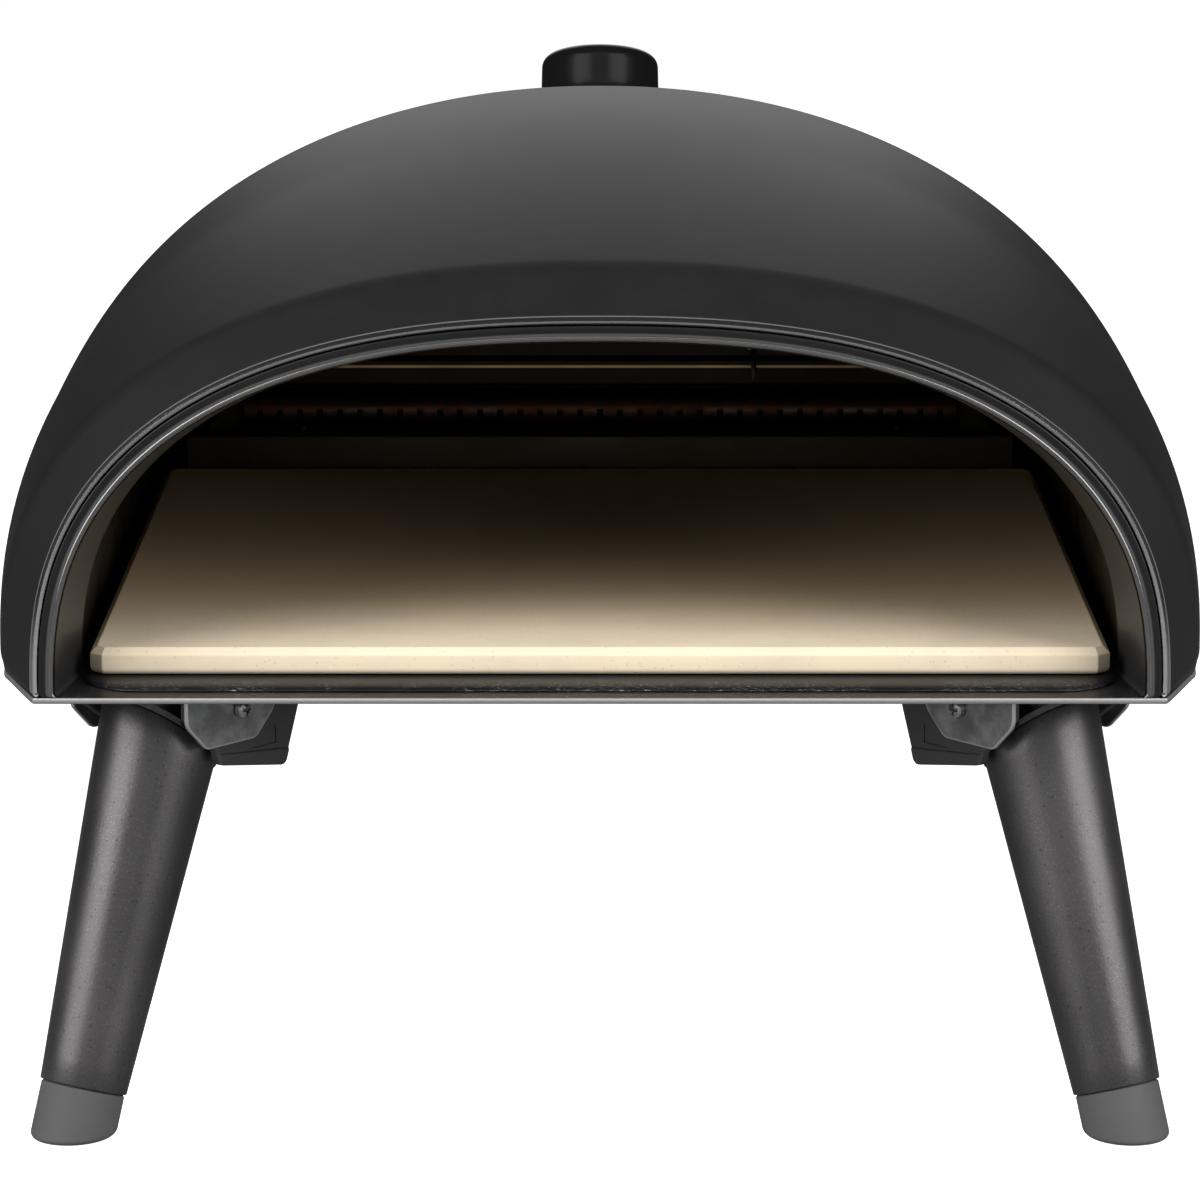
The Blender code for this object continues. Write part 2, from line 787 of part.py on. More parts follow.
def make_pizza_stone():
    low = back(STONE_IN)
    high = back(STONE_IN + STONE_LENGTH)
    half_width = STONE_WIDTH / 2
    steps = (
        (0, STONE_Z),
        (0, LEVEL_Z - STONE_CHAMFER),
        (STONE_CHAMFER, LEVEL_Z),
    )

    def build(edit):
        rings = []
        for inset, z in steps:
            outline = rounded_rectangle(half_width - inset, low + inset, high - inset, STONE_CORNER, 3)
            rings.append([(x, y, z) for x, y in outline])
        made = loft_faces(edit, rings, closed=True)
        edit.faces.new(made[-1])
        edit.faces.new(made[0][::-1])

    add_object("pizza_stone", mesh_of("pizza_stone", build), CORDIERITE)


# Burner


def channel_outline(height, flange, sheet):
    """Section of a channel that opens backwards, in depth and height from its front lower corner."""
    return [
        (0, 0),
        (flange, 0),
        (flange, sheet),
        (sheet, sheet),
        (sheet, height - sheet),
        (flange, height - sheet),
        (flange, height),
        (0, height),
    ]


def make_flame_guard():
    """The low guard between the stone and the burner, a channel along X."""
    height = LEVEL_Z + GUARD_RISE - ON_PAN_Z
    outline = channel_outline(height, GUARD_FLANGE, THIN_SHEET)
    to_section = Matrix(((0, 0, 1, 0), (1, 0, 0, back(GUARD_IN)), (0, 1, 0, ON_PAN_Z), (0, 0, 0, 1)))
    guard = plate_mesh("flame_guard", outline, 2 * GUARD_HALF_WIDTH, to_section)
    add_object("flame_guard", guard, LINER_STEEL)


def port_places():
    count = int((BURNER_HALF_LENGTH - PORT_END_MARGIN) / PORT_PITCH)
    return [PORT_PITCH * index for index in range(-count, count + 1)]


def make_burner_tube():
    """A closed tube along X with a row of ports, and the mixing tube that feeds it from behind."""
    y = back(BURNER_IN)
    z = LEVEL_Z + BURNER_RISE
    half = BURNER_HALF_LENGTH
    wall = BURNER_RADIUS - BURNER_BORE_RADIUS
    ends = ((-half, y, z), (half, y, z))
    tube = cone_mesh("burner_tube", *ends, BURNER_RADIUS, segments=BURNER_SIDES)
    burner = add_object("burner_tube", tube, BURNER_STEEL)
    end = back(VENTURI_END_IN)
    feed = cone_mesh("mixing_tube", (0, y, z), (0, end, z), VENTURI_RADIUS, segments=BURNER_SIDES)
    join(burner, add_helper("mixing_tube", feed))
    bore_half = half - wall
    ends = ((-bore_half, y, z), (bore_half, y, z))
    bore = cone_mesh("burner_bore", *ends, BURNER_BORE_RADIUS, segments=BURNER_SIDES)
    cut(burner, add_helper("burner_bore", bore))
    ends = ((0, y, z), (0, end + OVERRUN, z))
    feed_bore = cone_mesh("mixing_bore", *ends, VENTURI_BORE_RADIUS, segments=BURNER_SIDES)
    cut(burner, add_helper("mixing_bore", feed_bore))

    def build(edit):
        front = y - BURNER_RADIUS - GAP
        depth = BURNER_RADIUS / 2
        for x in port_places():
            centre = Vector((x, front + depth / 2, z))
            size = (PORT_WIDTH, depth, PORT_HEIGHT, 1)
            bmesh.ops.create_cube(edit, size=1, matrix=Matrix.Translation(centre) @ Matrix.Diagonal(size))

    cut(burner, add_helper("burner_ports", mesh_of("burner_ports", build)))


def make_burner_feet():
    """Two angle feet that cradle the burner over the pan."""
    y = back(BURNER_IN)
    z = LEVEL_Z + BURNER_RISE
    half = BURNER_FOOT_WIDTH / 2
    for side, name in ((-1, "left"), (1, "right")):
        x = side * BURNER_FOOT_X
        end = x + side * BURNER_FOOT_FLANGE
        low = (min(x, x + side * SHEET), y - half, ON_PAN_Z)
        high = (max(x, x + side * SHEET), y + half, z)
        foot = add_object(f"burner_foot_{name}", box_mesh("burner_foot", low, high), BURNER_STEEL)
        low = (min(x, end), y - half, ON_PAN_Z)
        high = (max(x, end), y + half, ON_PAN_Z + SHEET)
        join(foot, add_helper(f"burner_foot_flange_{name}", box_mesh("foot_flange", low, high)))
        ends = ((x - OVERRUN, y, z), (x + OVERRUN, y, z))
        seat = cone_mesh("burner_seat", *ends, BURNER_RADIUS + GAP, segments=BURNER_SIDES)
        cut(foot, add_helper(f"burner_seat_{name}", seat))


def jet_tip_y():
    return back(VENTURI_END_IN) + JET_STANDOFF


def make_jet_holder():
    """The brass jet that squirts gas into the mixing tube."""
    z = LEVEL_Z + BURNER_RISE
    tip = jet_tip_y()
    end = tip + JET_LENGTH
    middle = mix(tip, end, 1 / 3)
    body = cone_mesh("jet_holder", (0, middle, z), (0, end, z), JET_RADIUS, segments=HEX_SIDES)
    jet = add_object("jet_holder", body, BRASS)
    ends = ((0, mix(middle, end, 1 / 4), z), (0, tip, z))
    nose = cone_mesh("jet_nose", *ends, JET_RADIUS * 3 / 4, JET_NOSE_RADIUS, SMALL_ROUND_SIDES)
    join(jet, add_helper("jet_nose", nose))


# Valve, knob and gas supply


def knob_matrix():
    """Frame on the shell's top line at the knob, with +Z square to the shell and outwards."""
    step = CREASE_IN / 100
    rise = shell_crown(KNOB_IN + step) - shell_crown(KNOB_IN - step)
    lean = math.atan2(-rise, 2 * step)
    place = Matrix.Translation((0, back(KNOB_IN), LEVEL_Z + shell_crown(KNOB_IN)))
    return place @ Matrix.Rotation(-lean, 4, "X")


def bezel_top():
    return BEZEL_LIP + BEZEL_HEIGHT


def make_knob(hinge):
    """The hollow control knob and its stem, which turn and push together."""
    bottom = bezel_top() + KNOB_TRAVEL + GAP
    top = bottom + KNOB_HEIGHT
    hollow = bottom + KNOB_HOLLOW_DEPTH
    bore = STEM_RADIUS + STEM_CLEARANCE
    profile = [(0, top)]
    for step in range(KNOB_SHOULDER_STEPS + 1):
        angle = math.pi / 2 * (1 - step / KNOB_SHOULDER_STEPS)
        radius = KNOB_TOP_RADIUS - KNOB_SHOULDER + KNOB_SHOULDER * math.cos(angle)
        profile.append((radius, top - KNOB_SHOULDER + KNOB_SHOULDER * math.sin(angle)))
    profile += [
        (KNOB_RADIUS, bottom),
        (KNOB_RADIUS - KNOB_SKIRT_WALL, bottom),
        (KNOB_RADIUS - KNOB_SKIRT_WALL, hollow),
        (KNOB_BOSS_RADIUS, hollow),
        (KNOB_BOSS_RADIUS, bottom),
        (bore, bottom),
        (bore, bottom + STEM_IN_KNOB + GAP),
        (0, bottom + STEM_IN_KNOB + GAP),
    ]
    knob = add_object("control_knob", turned_mesh("control_knob", profile), KNOB_PLASTIC, parent=hinge)
    turn(knob, KNOB_SIDES)
    ends = ((0, 0, -STEM_DEPTH), (0, 0, bottom + STEM_IN_KNOB))
    stem = cone_mesh("valve_stem", *ends, STEM_RADIUS)
    add_object("valve_stem", stem, BRASS, parent=hinge)


def make_push_collar(slide):
    """The collar that the knob's stem runs in, and that its push presses down in the valve's neck."""
    top = bezel_top() - GAP
    bottom = top - COLLAR_THICKNESS
    bore = STEM_RADIUS + STEM_CLEARANCE
    profile = [(COLLAR_RADIUS, top), (COLLAR_RADIUS, bottom), (bore, bottom), (bore, top)]
    collar = turned_mesh("push_collar", profile, ring=True)
    turn(add_object("push_collar", collar, BRASS, parent=slide), ROUND_SIDES)


def make_knob_bezel(axis):
    """The flared ring between the knob and the shell."""
    profile = [
        (BEZEL_RADIUS - BEZEL_HEIGHT, bezel_top()),
        (BEZEL_RADIUS, BEZEL_LIP + GAP),
        (BEZEL_RADIUS, BEZEL_LIP),
        (NECK_RADIUS + GAP, BEZEL_LIP),
        (NECK_RADIUS + GAP, bezel_top()),
    ]
    bezel = turned_mesh("knob_bezel", profile, ring=True)
    turn(add_object("knob_bezel", bezel, KNOB_PLASTIC, axis), KNOB_SIDES)


def make_gas_valve(axis):
    """The brass valve under the shell, with a neck through the shell and a port to each side."""
    recess = COLLAR_RADIUS + GAP
    bore = STEM_RADIUS + STEM_CLEARANCE
    recess_z = bezel_top() - COLLAR_RECESS
    stem_end = -STEM_DEPTH - KNOB_TRAVEL - GAP
    profile = [
        (0, bezel_top()),
        (NECK_RADIUS, bezel_top()),
        (NECK_RADIUS, -VALVE_TOP_DEPTH),
        (VALVE_RADIUS - VALVE_SHOULDER, -VALVE_TOP_DEPTH),
        (VALVE_RADIUS, -VALVE_TOP_DEPTH - VALVE_SHOULDER),
        (VALVE_RADIUS, -VALVE_DEPTH),
        (0, -VALVE_DEPTH),
    ]
    valve = add_object("gas_valve", turned_mesh("gas_valve", profile), BRASS, axis)
    turn(valve, ROUND_SIDES)
    ports = []
    for side, name in ((-1, "outlet"), (1, "inlet")):
        ends = ((0, 0, -PORT_DEPTH), (side * (VALVE_RADIUS + PORT_REACH), 0, -PORT_DEPTH))
        stub = cone_mesh(f"valve_{name}", *ends, PORT_RADIUS, segments=SMALL_ROUND_SIDES)
        join(valve, add_helper(f"valve_{name}", stub, axis))
        ports.append(axis @ Vector((side * (VALVE_RADIUS + PORT_REACH + GAP), 0, -PORT_DEPTH)))
    top = (0, 0, OVERRUN)
    stem_bore = cone_mesh("stem_bore", (0, 0, stem_end), top, bore, segments=SMALL_ROUND_SIDES)
    cut(valve, add_helper("stem_bore", stem_bore, axis))
    collar_bore = cone_mesh("collar_bore", (0, 0, recess_z), top, recess, segments=SMALL_ROUND_SIDES)
    cut(valve, add_helper("collar_bore", collar_bore, axis))
    return ports


def make_gas_inlet():
    """The threaded nipple through the back cover, with its nut outside."""
    z = LEVEL_Z + INLET_RISE
    outside = back(SHELL_DEPTH) + GAP + SHEET + GAP
    end = back(SHELL_DEPTH + INLET_REACH)
    inside = back(SHELL_DEPTH) - SHEET - INLET_TAIL
    nipple = cone_mesh("gas_inlet", (INLET_X, outside, z), (INLET_X, end, z), INLET_RADIUS)
    inlet = add_object("gas_inlet", nipple, BRASS)
    nut_end = outside + INLET_NUT_THICKNESS
    ends = ((INLET_X, outside, z), (INLET_X, nut_end, z))
    nut = cone_mesh("inlet_nut", *ends, INLET_NUT_RADIUS, segments=HEX_SIDES)
    join(inlet, add_helper("inlet_nut", nut))
    ends = ((INLET_X, inside, z), (INLET_X, outside + GAP, z))
    tail = cone_mesh("inlet_tail", *ends, INLET_TAIL_RADIUS, segments=SMALL_ROUND_SIDES)
    join(inlet, add_helper("inlet_tail", tail))
    mouth = mix(outside, end, 1 / 2)
    bore = cone_mesh("inlet_bore", (INLET_X, mouth, z), (INLET_X, end + OVERRUN, z), INLET_BORE_RADIUS)
    cut(inlet, add_helper("inlet_bore", bore))
    return Vector((INLET_X, inside - GAP, z))


def make_pipes(outlet, inlet, tail):
    """The pipe from the inlet up to the valve, and the one from the valve down to the jet."""
    z = LEVEL_Z + BURNER_RISE
    jet = Vector((0, jet_tip_y() + JET_LENGTH + GAP, z))
    behind = back(SHELL_DEPTH) - SHEET - 4 * PIPE_RADIUS
    drop = mix(z, outlet.z, 1 / 2)
    supply = [
        tail,
        tail - Vector((0, PIPE_RADIUS, 0)),
        tail - Vector((0, 3 * PIPE_RADIUS, -PIPE_RADIUS / 2)),
        Vector((PIPE_ELBOW_X + 2 * PIPE_RADIUS, mix(tail.y, inlet.y, 1 / 3), mix(tail.z, inlet.z, 1 / 2))),
        Vector((PIPE_ELBOW_X, mix(tail.y, inlet.y, 4 / 5), mix(tail.z, inlet.z, 9 / 10))),
        inlet + Vector((2 * PIPE_RADIUS, 0, 0)),
        inlet,
    ]
    tube_object("inlet_pipe", smooth_route(supply), PIPE_RADIUS, ALUMINIUM)
    feed = [
        outlet,
        outlet - Vector((2 * PIPE_RADIUS, 0, 0)),
        Vector((-PIPE_ELBOW_X, mix(outlet.y, behind, 2 / 5), mix(outlet.z, drop, 1 / 4))),
        Vector((-PIPE_ELBOW_X, mix(outlet.y, behind, 4 / 5), drop)),
        Vector((-PIPE_LOW_X, behind, mix(z, drop, 1 / 4))),
        jet + Vector((0, PIPE_RADIUS, 0)),
        jet,
    ]
    tube_object("gas_pipe", smooth_route(feed), PIPE_RADIUS, ALUMINIUM)


def make_igniter(axis):
    """The spark electrode in its ceramic, and the lead that comes to it from the valve."""
    z = LEVEL_Z + ELECTRODE_RISE
    wall = back(LINER_BACK_IN) - THIN_SHEET
    front = wall - CERAMIC_FRONT
    end = wall + CERAMIC_BACK
    ends = ((ELECTRODE_X, front, z), (ELECTRODE_X, end, z))
    body = cone_mesh("igniter_ceramic", *ends, CERAMIC_RADIUS, segments=SMALL_ROUND_SIDES)
    ceramic = add_object("igniter_ceramic", body, CERAMIC)
    socket = CERAMIC_FRONT / 2
    ends = ((ELECTRODE_X, front - OVERRUN, z), (ELECTRODE_X, front + socket, z))
    hole = cone_mesh("electrode_socket", *ends, ELECTRODE_RADIUS + GAP, segments=HOLE_SIDES)
    cut(ceramic, add_helper("electrode_socket", hole))
    burner_y = back(BURNER_IN)
    burner_top = LEVEL_Z + BURNER_RISE + BURNER_RADIUS
    route = [
        (ELECTRODE_X, front + socket - GAP, z),
        (ELECTRODE_X, front - CERAMIC_FRONT / 2, z),
        (ELECTRODE_X, burner_y, z - CERAMIC_FRONT / 2),
        (ELECTRODE_X, burner_y - BURNER_RADIUS / 2, mix(burner_top, z, 1 / 2)),
        (ELECTRODE_X, burner_y - BURNER_RADIUS / 2, burner_top + SPARK_GAP),
    ]
    tube_object("electrode", smooth_route(route, 3), ELECTRODE_RADIUS, BRIGHT_STEEL)
    low = axis @ Vector((0, 0, -VALVE_DEPTH - 6 * LEAD_RADIUS))
    lead = [
        axis @ Vector((0, 0, -VALVE_DEPTH - GAP)),
        axis @ Vector((0, 0, -VALVE_DEPTH - 2 * LEAD_RADIUS)),
        low,
        Vector((mix(low.x, ELECTRODE_X, 1 / 2), mix(low.y, end, 1 / 3), mix(low.z, z, 1 / 5))),
        Vector((mix(low.x, ELECTRODE_X, 9 / 10), mix(low.y, end, 2 / 3), mix(low.z, z, 2 / 5))),
        Vector((ELECTRODE_X, end + 5 * LEAD_RADIUS, mix(low.z, z, 4 / 5))),
        Vector((ELECTRODE_X, end + 3 * LEAD_RADIUS, z)),
        Vector((ELECTRODE_X, end + GAP, z)),
    ]
    tube_object("igniter_lead", smooth_route(lead, 3), LEAD_RADIUS, SILICONE, 1)


def cover_low_z():
    return PAN_TOP_Z + COVER_RISE


def cover_screw_places():
    x = COVER_HALF_WIDTH - COVER_SCREW_INSET
    low = cover_low_z() + COVER_SCREW_INSET
    high = cover_low_z() + COVER_HEIGHT - COVER_SCREW_INSET
    return [(-x, low), (x, low), (-x, high), (x, high)]


def make_back_cover():
    """The plate over the service window, with its four screws."""
    low = cover_low_z()
    outline = rounded_rectangle(COVER_HALF_WIDTH, low, low + COVER_HEIGHT, COVER_CORNER, 3)
    inner_y = back(SHELL_DEPTH) + GAP
    upright = Matrix(((1, 0, 0, 0), (0, 0, -1, inner_y + SHEET / 2), (0, 1, 0, 0), (0, 0, 0, 1)))
    cover = add_object("back_cover", plate_mesh("back_cover", outline, SHEET, upright), POWDER_COAT)
    z = LEVEL_Z + INLET_RISE
    ends = ((INLET_X, inner_y - OVERRUN, z), (INLET_X, inner_y + OVERRUN, z))
    cut(cover, add_helper("inlet_hole", cone_mesh("inlet_hole", *ends, INLET_TAIL_RADIUS + GAP)))
    head_y = inner_y + SHEET + GAP
    for index, (x, z) in enumerate(cover_screw_places()):
        ends = ((x, inner_y - OVERRUN, z), (x, inner_y + OVERRUN, z))
        hole = cone_mesh("screw_hole", *ends, SCREW_RADIUS + GAP, segments=SCREW_SIDES)
        cut(cover, add_helper(f"screw_hole_{index}", hole))
        profile = [
            (0, SCREW_HEAD_HEIGHT),
            (SCREW_HEAD_RADIUS * 2 / 3, SCREW_HEAD_HEIGHT * 4 / 5),
            (SCREW_HEAD_RADIUS, SCREW_HEAD_HEIGHT / 4),
            (SCREW_HEAD_RADIUS, 0),
            (SCREW_RADIUS, 0),
            (SCREW_RADIUS, -SCREW_LENGTH),
            (0, -SCREW_LENGTH),
        ]
        outwards = Matrix.Translation((x, head_y, z)) @ Matrix.Rotation(-math.pi / 2, 4, "X")
        screw = turned_mesh("cover_screw", profile)
        turn(add_object(f"cover_screw_{index + 1}", screw, BRIGHT_STEEL, outwards), SCREW_SIDES)


# Folding legs


def leg_length():
    """Distance along the leg's line from beside the pivot to the ground."""
    return (PIVOT_Z + LEG_OFFSET * math.sin(LEG_SPLAY)) / math.cos(LEG_SPLAY)


def tube_length():
    return leg_length() - FOOT_COLLAR - FOOT_RADIUS * math.tan(LEG_SPLAY)


def leg_radius(along):
    share = (along - LEG_TOP_OUTER) / (tube_length() - LEG_TOP_OUTER)
    return mix(LEG_TOP_RADIUS, LEG_BOTTOM_RADIUS, share)


def mitre_slope():
    return (LEG_TOP_INNER - LEG_TOP_OUTER) / (2 * LEG_TOP_RADIUS)


def mitre_plane(rise):
    """A point and the upward normal of the leg's slanted top, raised along the leg by the length rise."""
    point = Vector((LEG_OFFSET + LEG_TOP_RADIUS, 0, -LEG_TOP_OUTER + rise))
    return point, Vector((-mitre_slope(), 0, 1)).normalized()


def slice_off(edit, point, normal):
    """Removes what lies beyond a plane and closes the cut."""
    whole = edit.verts[:] + edit.edges[:] + edit.faces[:]
    found = bmesh.ops.bisect_plane(edit, geom=whole, plane_co=point, plane_no=normal, clear_outer=True)
    rim = [item for item in found["geom_cut"] if isinstance(item, bmesh.types.BMEdge)]
    bmesh.ops.contextual_create(edit, geom=rim)


def leg_cone(edit, top, bottom, top_radius, bottom_radius, segments=ROUND_SIDES):
    """A solid cone along the leg's line, from and to distances below the pivot."""
    bmesh.ops.create_cone(
        edit,
        cap_ends=True,
        segments=segments,
        radius1=bottom_radius,
        radius2=top_radius,
        depth=bottom - top,
        matrix=Matrix.Translation((LEG_OFFSET, 0, -(top + bottom) / 2)),
    )


def make_leg_tube(name, hinge):
    """The tapered tube, cut slanting at its top so that it folds flat under the pan."""
    end = tube_length()

    def outside(edit):
        leg_cone(edit, LEG_TOP_OUTER, end, LEG_TOP_RADIUS, LEG_BOTTOM_RADIUS)
        slice_off(edit, *mitre_plane(0))

    def inside(edit):
        top = LEG_TOP_OUTER - OVERRUN
        bottom = end + OVERRUN
        leg_cone(edit, top, bottom, leg_radius(top) - LEG_WALL, leg_radius(bottom) - LEG_WALL)

    tube = add_object(f"leg_tube_{name}", mesh_of("leg_tube", outside), LEG_COAT, parent=hinge)
    cut(tube, add_helper(f"leg_bore_{name}", mesh_of("leg_bore", inside), parent=hinge))


def make_leg_knuckle(name, hinge):
    """The moulded plug in the tube's top: a slanted cap, a spigot below it and an eye for the bolt."""
    spigot = LEG_TOP_RADIUS - LEG_WALL - 2 * GAP

    def cap(edit):
        leg_cone(edit, -OVERRUN, LEG_TOP_INNER + OVERRUN, LEG_TOP_RADIUS, LEG_TOP_RADIUS)
        slice_off(edit, *mitre_plane(GAP + CAP_THICKNESS))
        point, normal = mitre_plane(GAP)
        slice_off(edit, point, -normal)

    def plug(edit):
        bottom = LEG_TOP_INNER + PLUG_LENGTH
        taper = leg_radius(bottom) - leg_radius(LEG_TOP_OUTER)
        radius = spigot + taper
        leg_cone(edit, LEG_TOP_OUTER - OVERRUN, bottom, radius, radius, SMALL_ROUND_SIDES)
        slice_off(edit, *mitre_plane(GAP + CAP_THICKNESS / 2))

    knuckle = add_object(f"leg_knuckle_{name}", mesh_of("leg_knuckle", cap), SHOE_PLASTIC, parent=hinge)
    join(knuckle, add_helper(f"leg_plug_{name}", mesh_of("leg_plug", plug), parent=hinge))
    ends = ((0, -EYE_HALF_WIDTH, 0), (0, EYE_HALF_WIDTH, 0))
    eye = cone_mesh("leg_eye", *ends, EYE_RADIUS, segments=SMALL_ROUND_SIDES)
    join(knuckle, add_helper(f"leg_eye_{name}", eye, parent=hinge))
    foot = LEG_TOP_OUTER + (LEG_TOP_RADIUS + LEG_OFFSET) * mitre_slope() + CAP_THICKNESS
    neck_half = EYE_HALF_WIDTH * 3 / 5
    neck = box_mesh("leg_neck", (-EYE_RADIUS, -neck_half, -foot), (EYE_RADIUS * 4 / 5, neck_half, 0))
    join(knuckle, add_helper(f"leg_neck_{name}", neck, parent=hinge))
    ends = ((0, -BRACKET_HALF_WIDTH - OVERRUN, 0), (0, BRACKET_HALF_WIDTH + OVERRUN, 0))
    hole = cone_mesh("leg_eye_hole", *ends, BOLT_HOLE_RADIUS, segments=HOLE_SIDES)
    cut(knuckle, add_helper(f"leg_eye_hole_{name}", hole, parent=hinge))


def make_leg_foot(name, hinge):
    """The rubber foot, pressed in the tube's end and cut level with the ground."""
    end = tube_length()
    up = Matrix.Rotation(LEG_SPLAY, 3, "Y") @ Vector((0, 0, 1))
    ground = Vector((LEG_OFFSET, 0, -leg_length()))

    def collar(edit):
        leg_cone(edit, end + GAP, leg_length() + OVERRUN, FOOT_RADIUS, FOOT_RADIUS)
        slice_off(edit, ground, -up)

    foot = add_object(f"leg_foot_{name}", mesh_of("leg_foot", collar), RUBBER, parent=hinge)
    bevel(foot, FOOT_ROUND, 1)
    spigot = leg_radius(end - FOOT_SPIGOT / 2) - LEG_WALL - 2 * GAP

    def stub(edit):
        bottom = leg_radius(end) - LEG_WALL - GAP
        leg_cone(edit, end - FOOT_SPIGOT, end + 2 * FOOT_ROUND, spigot, bottom)

    join(foot, add_helper(f"foot_spigot_{name}", mesh_of("foot_spigot", stub), parent=hinge))


def side_plate(name, outline, low_y, high_y):
    """A plate square to the bolt, from an outline in distance outwards and height over the pivot."""
    middle = (low_y + high_y) / 2
    upright = Matrix(((1, 0, 0, 0), (0, 0, -1, middle), (0, 1, 0, 0), (0, 0, 0, 1)))
    return plate_mesh(name, outline, abs(high_y - low_y), upright)


def make_leg_bracket(name, mount):
    """The folded steel bracket under the pan: a web and two cheeks with bevelled corners."""
    top = PIVOT_DROP - GAP
    low = top - BRACKET_HEIGHT
    half = BRACKET_HALF_LENGTH
    outline = [
        (-half, top),
        (-half, top - BRACKET_STRAIGHT),
        (-half + BRACKET_BEVEL, low),
        (half - BRACKET_BEVEL, low),
        (half, top - BRACKET_STRAIGHT),
        (half, top),
    ]
    inner = BRACKET_HALF_WIDTH - SHEET
    web = box_mesh(
        "bracket_web",
        (-BRACKET_WEB_IN, -inner - SHEET / 2, top - SHEET),
        (half, inner + SHEET / 2, top),
    )
    bracket = add_object(f"leg_bracket_{name}", web, BRACKET_STEEL, parent=mount)
    for side, side_name in ((-1, "far"), (1, "near")):
        cheek = side_plate("bracket_cheek", outline, side * inner, side * BRACKET_HALF_WIDTH)
        join(bracket, add_helper(f"bracket_cheek_{side_name}_{name}", cheek, parent=mount))
    ends = ((0, -BRACKET_HALF_WIDTH - OVERRUN, 0), (0, BRACKET_HALF_WIDTH + OVERRUN, 0))
    hole = cone_mesh("bracket_hole", *ends, BOLT_HOLE_RADIUS, segments=HOLE_SIDES)
    cut(bracket, add_helper(f"bracket_hole_{name}", hole, parent=mount))


def stop_height(outwards):
    """Height over the pivot of the standing leg's slanted cap, at a distance outwards of the pivot."""
    point, normal = mitre_plane(GAP + CAP_THICKNESS)
    stand = Matrix.Rotation(-LEG_SPLAY, 3, "Y")
    point, normal = stand @ point, stand @ normal
    return point.z - (outwards - point.x) * normal.x / normal.z


def make_leg_shoe(name, mount):
    """The moulded liner in the bracket: two cheeks beside the leg, and the block that stops the leg."""
    top = PIVOT_DROP - GAP - SHEET - GAP
    low = top - SHOE_HEIGHT
    outline = [
        (SHOE_OUTER_END, top),
        (SHOE_OUTER_END, top - SHOE_STRAIGHT),
        (SHOE_OUTER_END - SHOE_HEEL, low + SHOE_HEEL_RISE),
        (SHOE_NOSE - SHOE_INNER_END, low),
        (-SHOE_INNER_END, low + SHOE_HEIGHT * 3 / 5),
        (-SHOE_INNER_END, top),
    ]
    outer = BRACKET_HALF_WIDTH - SHEET - GAP
    inner = outer - SHOE_WALL
    block = [
        (STOP_INNER_END, top),
        (STOP_INNER_END, stop_height(STOP_INNER_END) + 2 * GAP),
        (SHOE_OUTER_END, stop_height(SHOE_OUTER_END) + 2 * GAP),
        (SHOE_OUTER_END, top),
    ]
    overlap = inner + SHOE_WALL / 2
    stop = side_plate("shoe_stop", block, -overlap, overlap)
    shoe = add_object(f"leg_shoe_{name}", stop, SHOE_PLASTIC, parent=mount)
    lip = [
        (SHOE_OUTER_END - SHOE_HEEL, low + SHOE_HEEL_RISE),
        (SHOE_NOSE - SHOE_INNER_END, low),
        (SHOE_NOSE * 3 / 4 - SHOE_INNER_END, low + SHOE_LIP),
        (SHOE_OUTER_END - SHOE_HEEL, low + SHOE_LIP + SHOE_HEEL_RISE / 2),
    ]
    for side, side_name in ((-1, "far"), (1, "near")):
        cheek = side_plate("shoe_cheek", outline, side * inner, side * outer)
        join(shoe, add_helper(f"shoe_cheek_{side_name}_{name}", cheek, parent=mount))
        edge = side_plate("shoe_lip", lip, side * (inner + SHOE_WALL / 2), side * BRACKET_HALF_WIDTH)
        join(shoe, add_helper(f"shoe_lip_{side_name}_{name}", edge, parent=mount))
    ends = ((0, -BRACKET_HALF_WIDTH - OVERRUN, 0), (0, BRACKET_HALF_WIDTH + OVERRUN, 0))
    hole = cone_mesh("shoe_hole", *ends, BOLT_HOLE_RADIUS, segments=HOLE_SIDES)
    cut(shoe, add_helper(f"shoe_hole_{name}", hole, parent=mount))


def make_pivot_bolt(name, mount, side):
    """The pivot bolt, with its domed head on one side of the bracket and its nut on the other."""
    face = BRACKET_HALF_WIDTH + GAP
    tail = 2 * face + NUT_THICKNESS + BOLT_TAIL
    height = BOLT_HEAD_HEIGHT
    shoulder = BOLT_HEAD_RADIUS - BOLT_HEAD_ROUND
    profile = [
        (0, height),
        (shoulder, height - BOLT_HEAD_ROUND / 4),
        (BOLT_HEAD_RADIUS - BOLT_HEAD_ROUND / 4, height - BOLT_HEAD_ROUND),
        (BOLT_HEAD_RADIUS, 0),
        (BOLT_RADIUS, 0),
        (BOLT_RADIUS, -tail),
        (0, -tail),
    ]
    axis = Matrix.Translation((0, side * face, 0)) @ Matrix.Rotation(-side * math.pi / 2, 4, "X")
    bolt = turned_mesh("pivot_bolt", profile)
    turn(add_object(f"pivot_bolt_{name}", bolt, BRIGHT_STEEL, axis, mount), HOLE_SIDES)
    ends = ((0, -side * face, 0), (0, -side * (face + NUT_THICKNESS), 0))
    hexagon = cone_mesh("pivot_nut", *ends, NUT_RADIUS, segments=HEX_SIDES)
    nut = add_object(f"pivot_nut_{name}", hexagon, BRIGHT_STEEL, parent=mount)
    ends = ((0, -side * (face - OVERRUN), 0), (0, -side * (face + OVERRUN), 0))
    hole = cone_mesh("nut_hole", *ends, BOLT_HOLE_RADIUS, segments=HOLE_SIDES)
    cut(nut, add_helper(f"nut_hole_{name}", hole, parent=mount))


